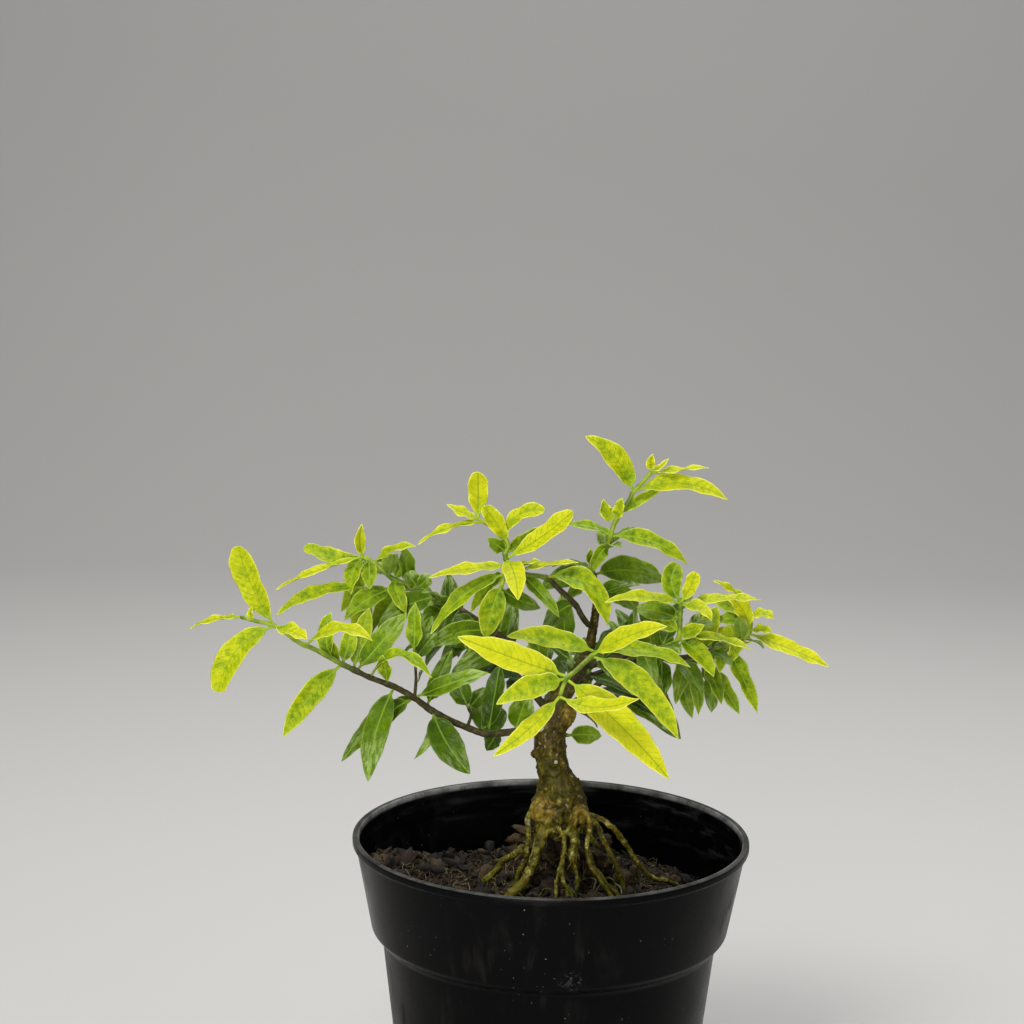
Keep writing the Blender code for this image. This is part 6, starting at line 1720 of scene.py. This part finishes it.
# The studio, in metres: half its width, where its floor begins and sweeps up, and the top of its wall
STUDIO_HALF_WIDTH = 3.2
STUDIO_FRONT = -1.6
SWEEP_START = 0.9
SWEEP_RADIUS = 0.9
STUDIO_TOP = 3.2
STUDIO_PAINT = (0.56, 0.555, 0.545)
STUDIO_ROUGHNESS = 0.9
SKY_COLOUR = (1.0, 0.99, 0.97, 1)
SKY_STRENGTH = 0.13
# Lamps: name, place, aim, width and height, power, colour
LAMPS = [("key", (-0.35, -0.55, 0.95), (0, 0, 0.13), (0.35, 0.35), 7.7, (1.0, 0.98, 0.93)),
         ("top", (0.15, 0.30, 0.85), (0, 0, 0.1), (0.5, 0.5), 4.0, (1, 1, 1)),
         ("fill", (0.8, -0.5, 0.45), (0, 0, 0.12), (0.7, 0.7), 1.3, (0.97, 0.99, 1.0)),
         ("front", (-0.12, -0.85, 0.12), (0, 0, 0.13), (0.5, 0.3), 5.4, (1.0, 0.98, 0.94)),
         ("wall", (0.0, 0.5, 1.6), (0, 1.9, 0.5), (2.0, 0.6), 9.0, (1, 1, 1))]


def make_studio():
    """A pale floor that sweeps up into a pale wall, soft lamps and an even sky."""
    sweep = [(SWEEP_START + SWEEP_RADIUS * np.sin(a), SWEEP_RADIUS - SWEEP_RADIUS * np.cos(a))
             for a in np.linspace(0.05, np.pi / 2, 16)]
    profile = [(STUDIO_FRONT, 0.0), (SWEEP_START, 0.0), *sweep, (SWEEP_START + SWEEP_RADIUS, STUDIO_TOP)]
    verts = [(x, y, z) for y, z in profile for x in (-STUDIO_HALF_WIDTH, STUDIO_HALF_WIDTH)]
    faces = [(2 * i, 2 * i + 1, 2 * i + 3, 2 * i + 2) for i in range(len(profile) - 1)]
    data = new_mesh("studio_floor", verts, faces)
    data.shade_smooth()
    floor = new_object("studio_floor", data)
    data.materials.append(studio_material(STUDIO_PAINT, STUDIO_ROUGHNESS))
    world = bpy.data.worlds.new("studio_sky")
    bpy.context.scene.world = world
    world.use_nodes = True
    sky = world.node_tree.nodes["Background"].inputs
    sky["Color"].default_value = SKY_COLOUR
    sky["Strength"].default_value = SKY_STRENGTH
    for name, place, aim, size, power, colour in LAMPS:
        lamp = bpy.data.lights.new(name, "AREA")
        lamp.shape = "RECTANGLE"
        lamp.size, lamp.size_y = size
        lamp.energy = power
        lamp.color = colour
        obj = new_object(name, lamp)
        obj.location = place
        obj.rotation_euler = (Vector(aim) - Vector(place)).to_track_quat("-Z", "Y").to_euler()


def make_camera():
    down, left, roll = (float(np.radians(a)) for a in (CAMERA_DOWN, CAMERA_LEFT, CAMERA_ROLL))
    flat = float(np.cos(down))
    forward = Vector((-float(np.sin(left)) * flat, float(np.cos(left)) * flat, -float(np.sin(down))))
    right = forward.cross(Vector((0, 0, 1))).normalized()
    up = right.cross(forward)
    c, s = float(np.cos(roll)), float(np.sin(roll))
    lens = bpy.data.cameras.new("camera")
    lens.lens = LENS
    lens.sensor_width = 36.0
    lens.clip_start = 0.01
    camera = new_object("camera", lens)
    columns = (right * c + up * s, up * c - right * s, -forward, Vector(CAMERA_PLACE))
    camera.matrix_world = Matrix([[column[i] for column in columns] for i in range(3)] + [[0, 0, 0, 1]])
    bpy.context.scene.camera = camera


make_camera()
make_studio()
bark = bark_material()
make_pot(plastic_material())
make_branches(leaf_material(), stem_material())
make_wood(bark)
make_soil_bed(soil_material())
crumb_skin = crumb_material()
for crumb_row in CRUMBS:
    make_crumbs(crumb_skin, *crumb_row)
make_fibres(crumb_skin)
make_rootlets(bark)
bpy.context.scene.view_settings.view_transform = "Standard"
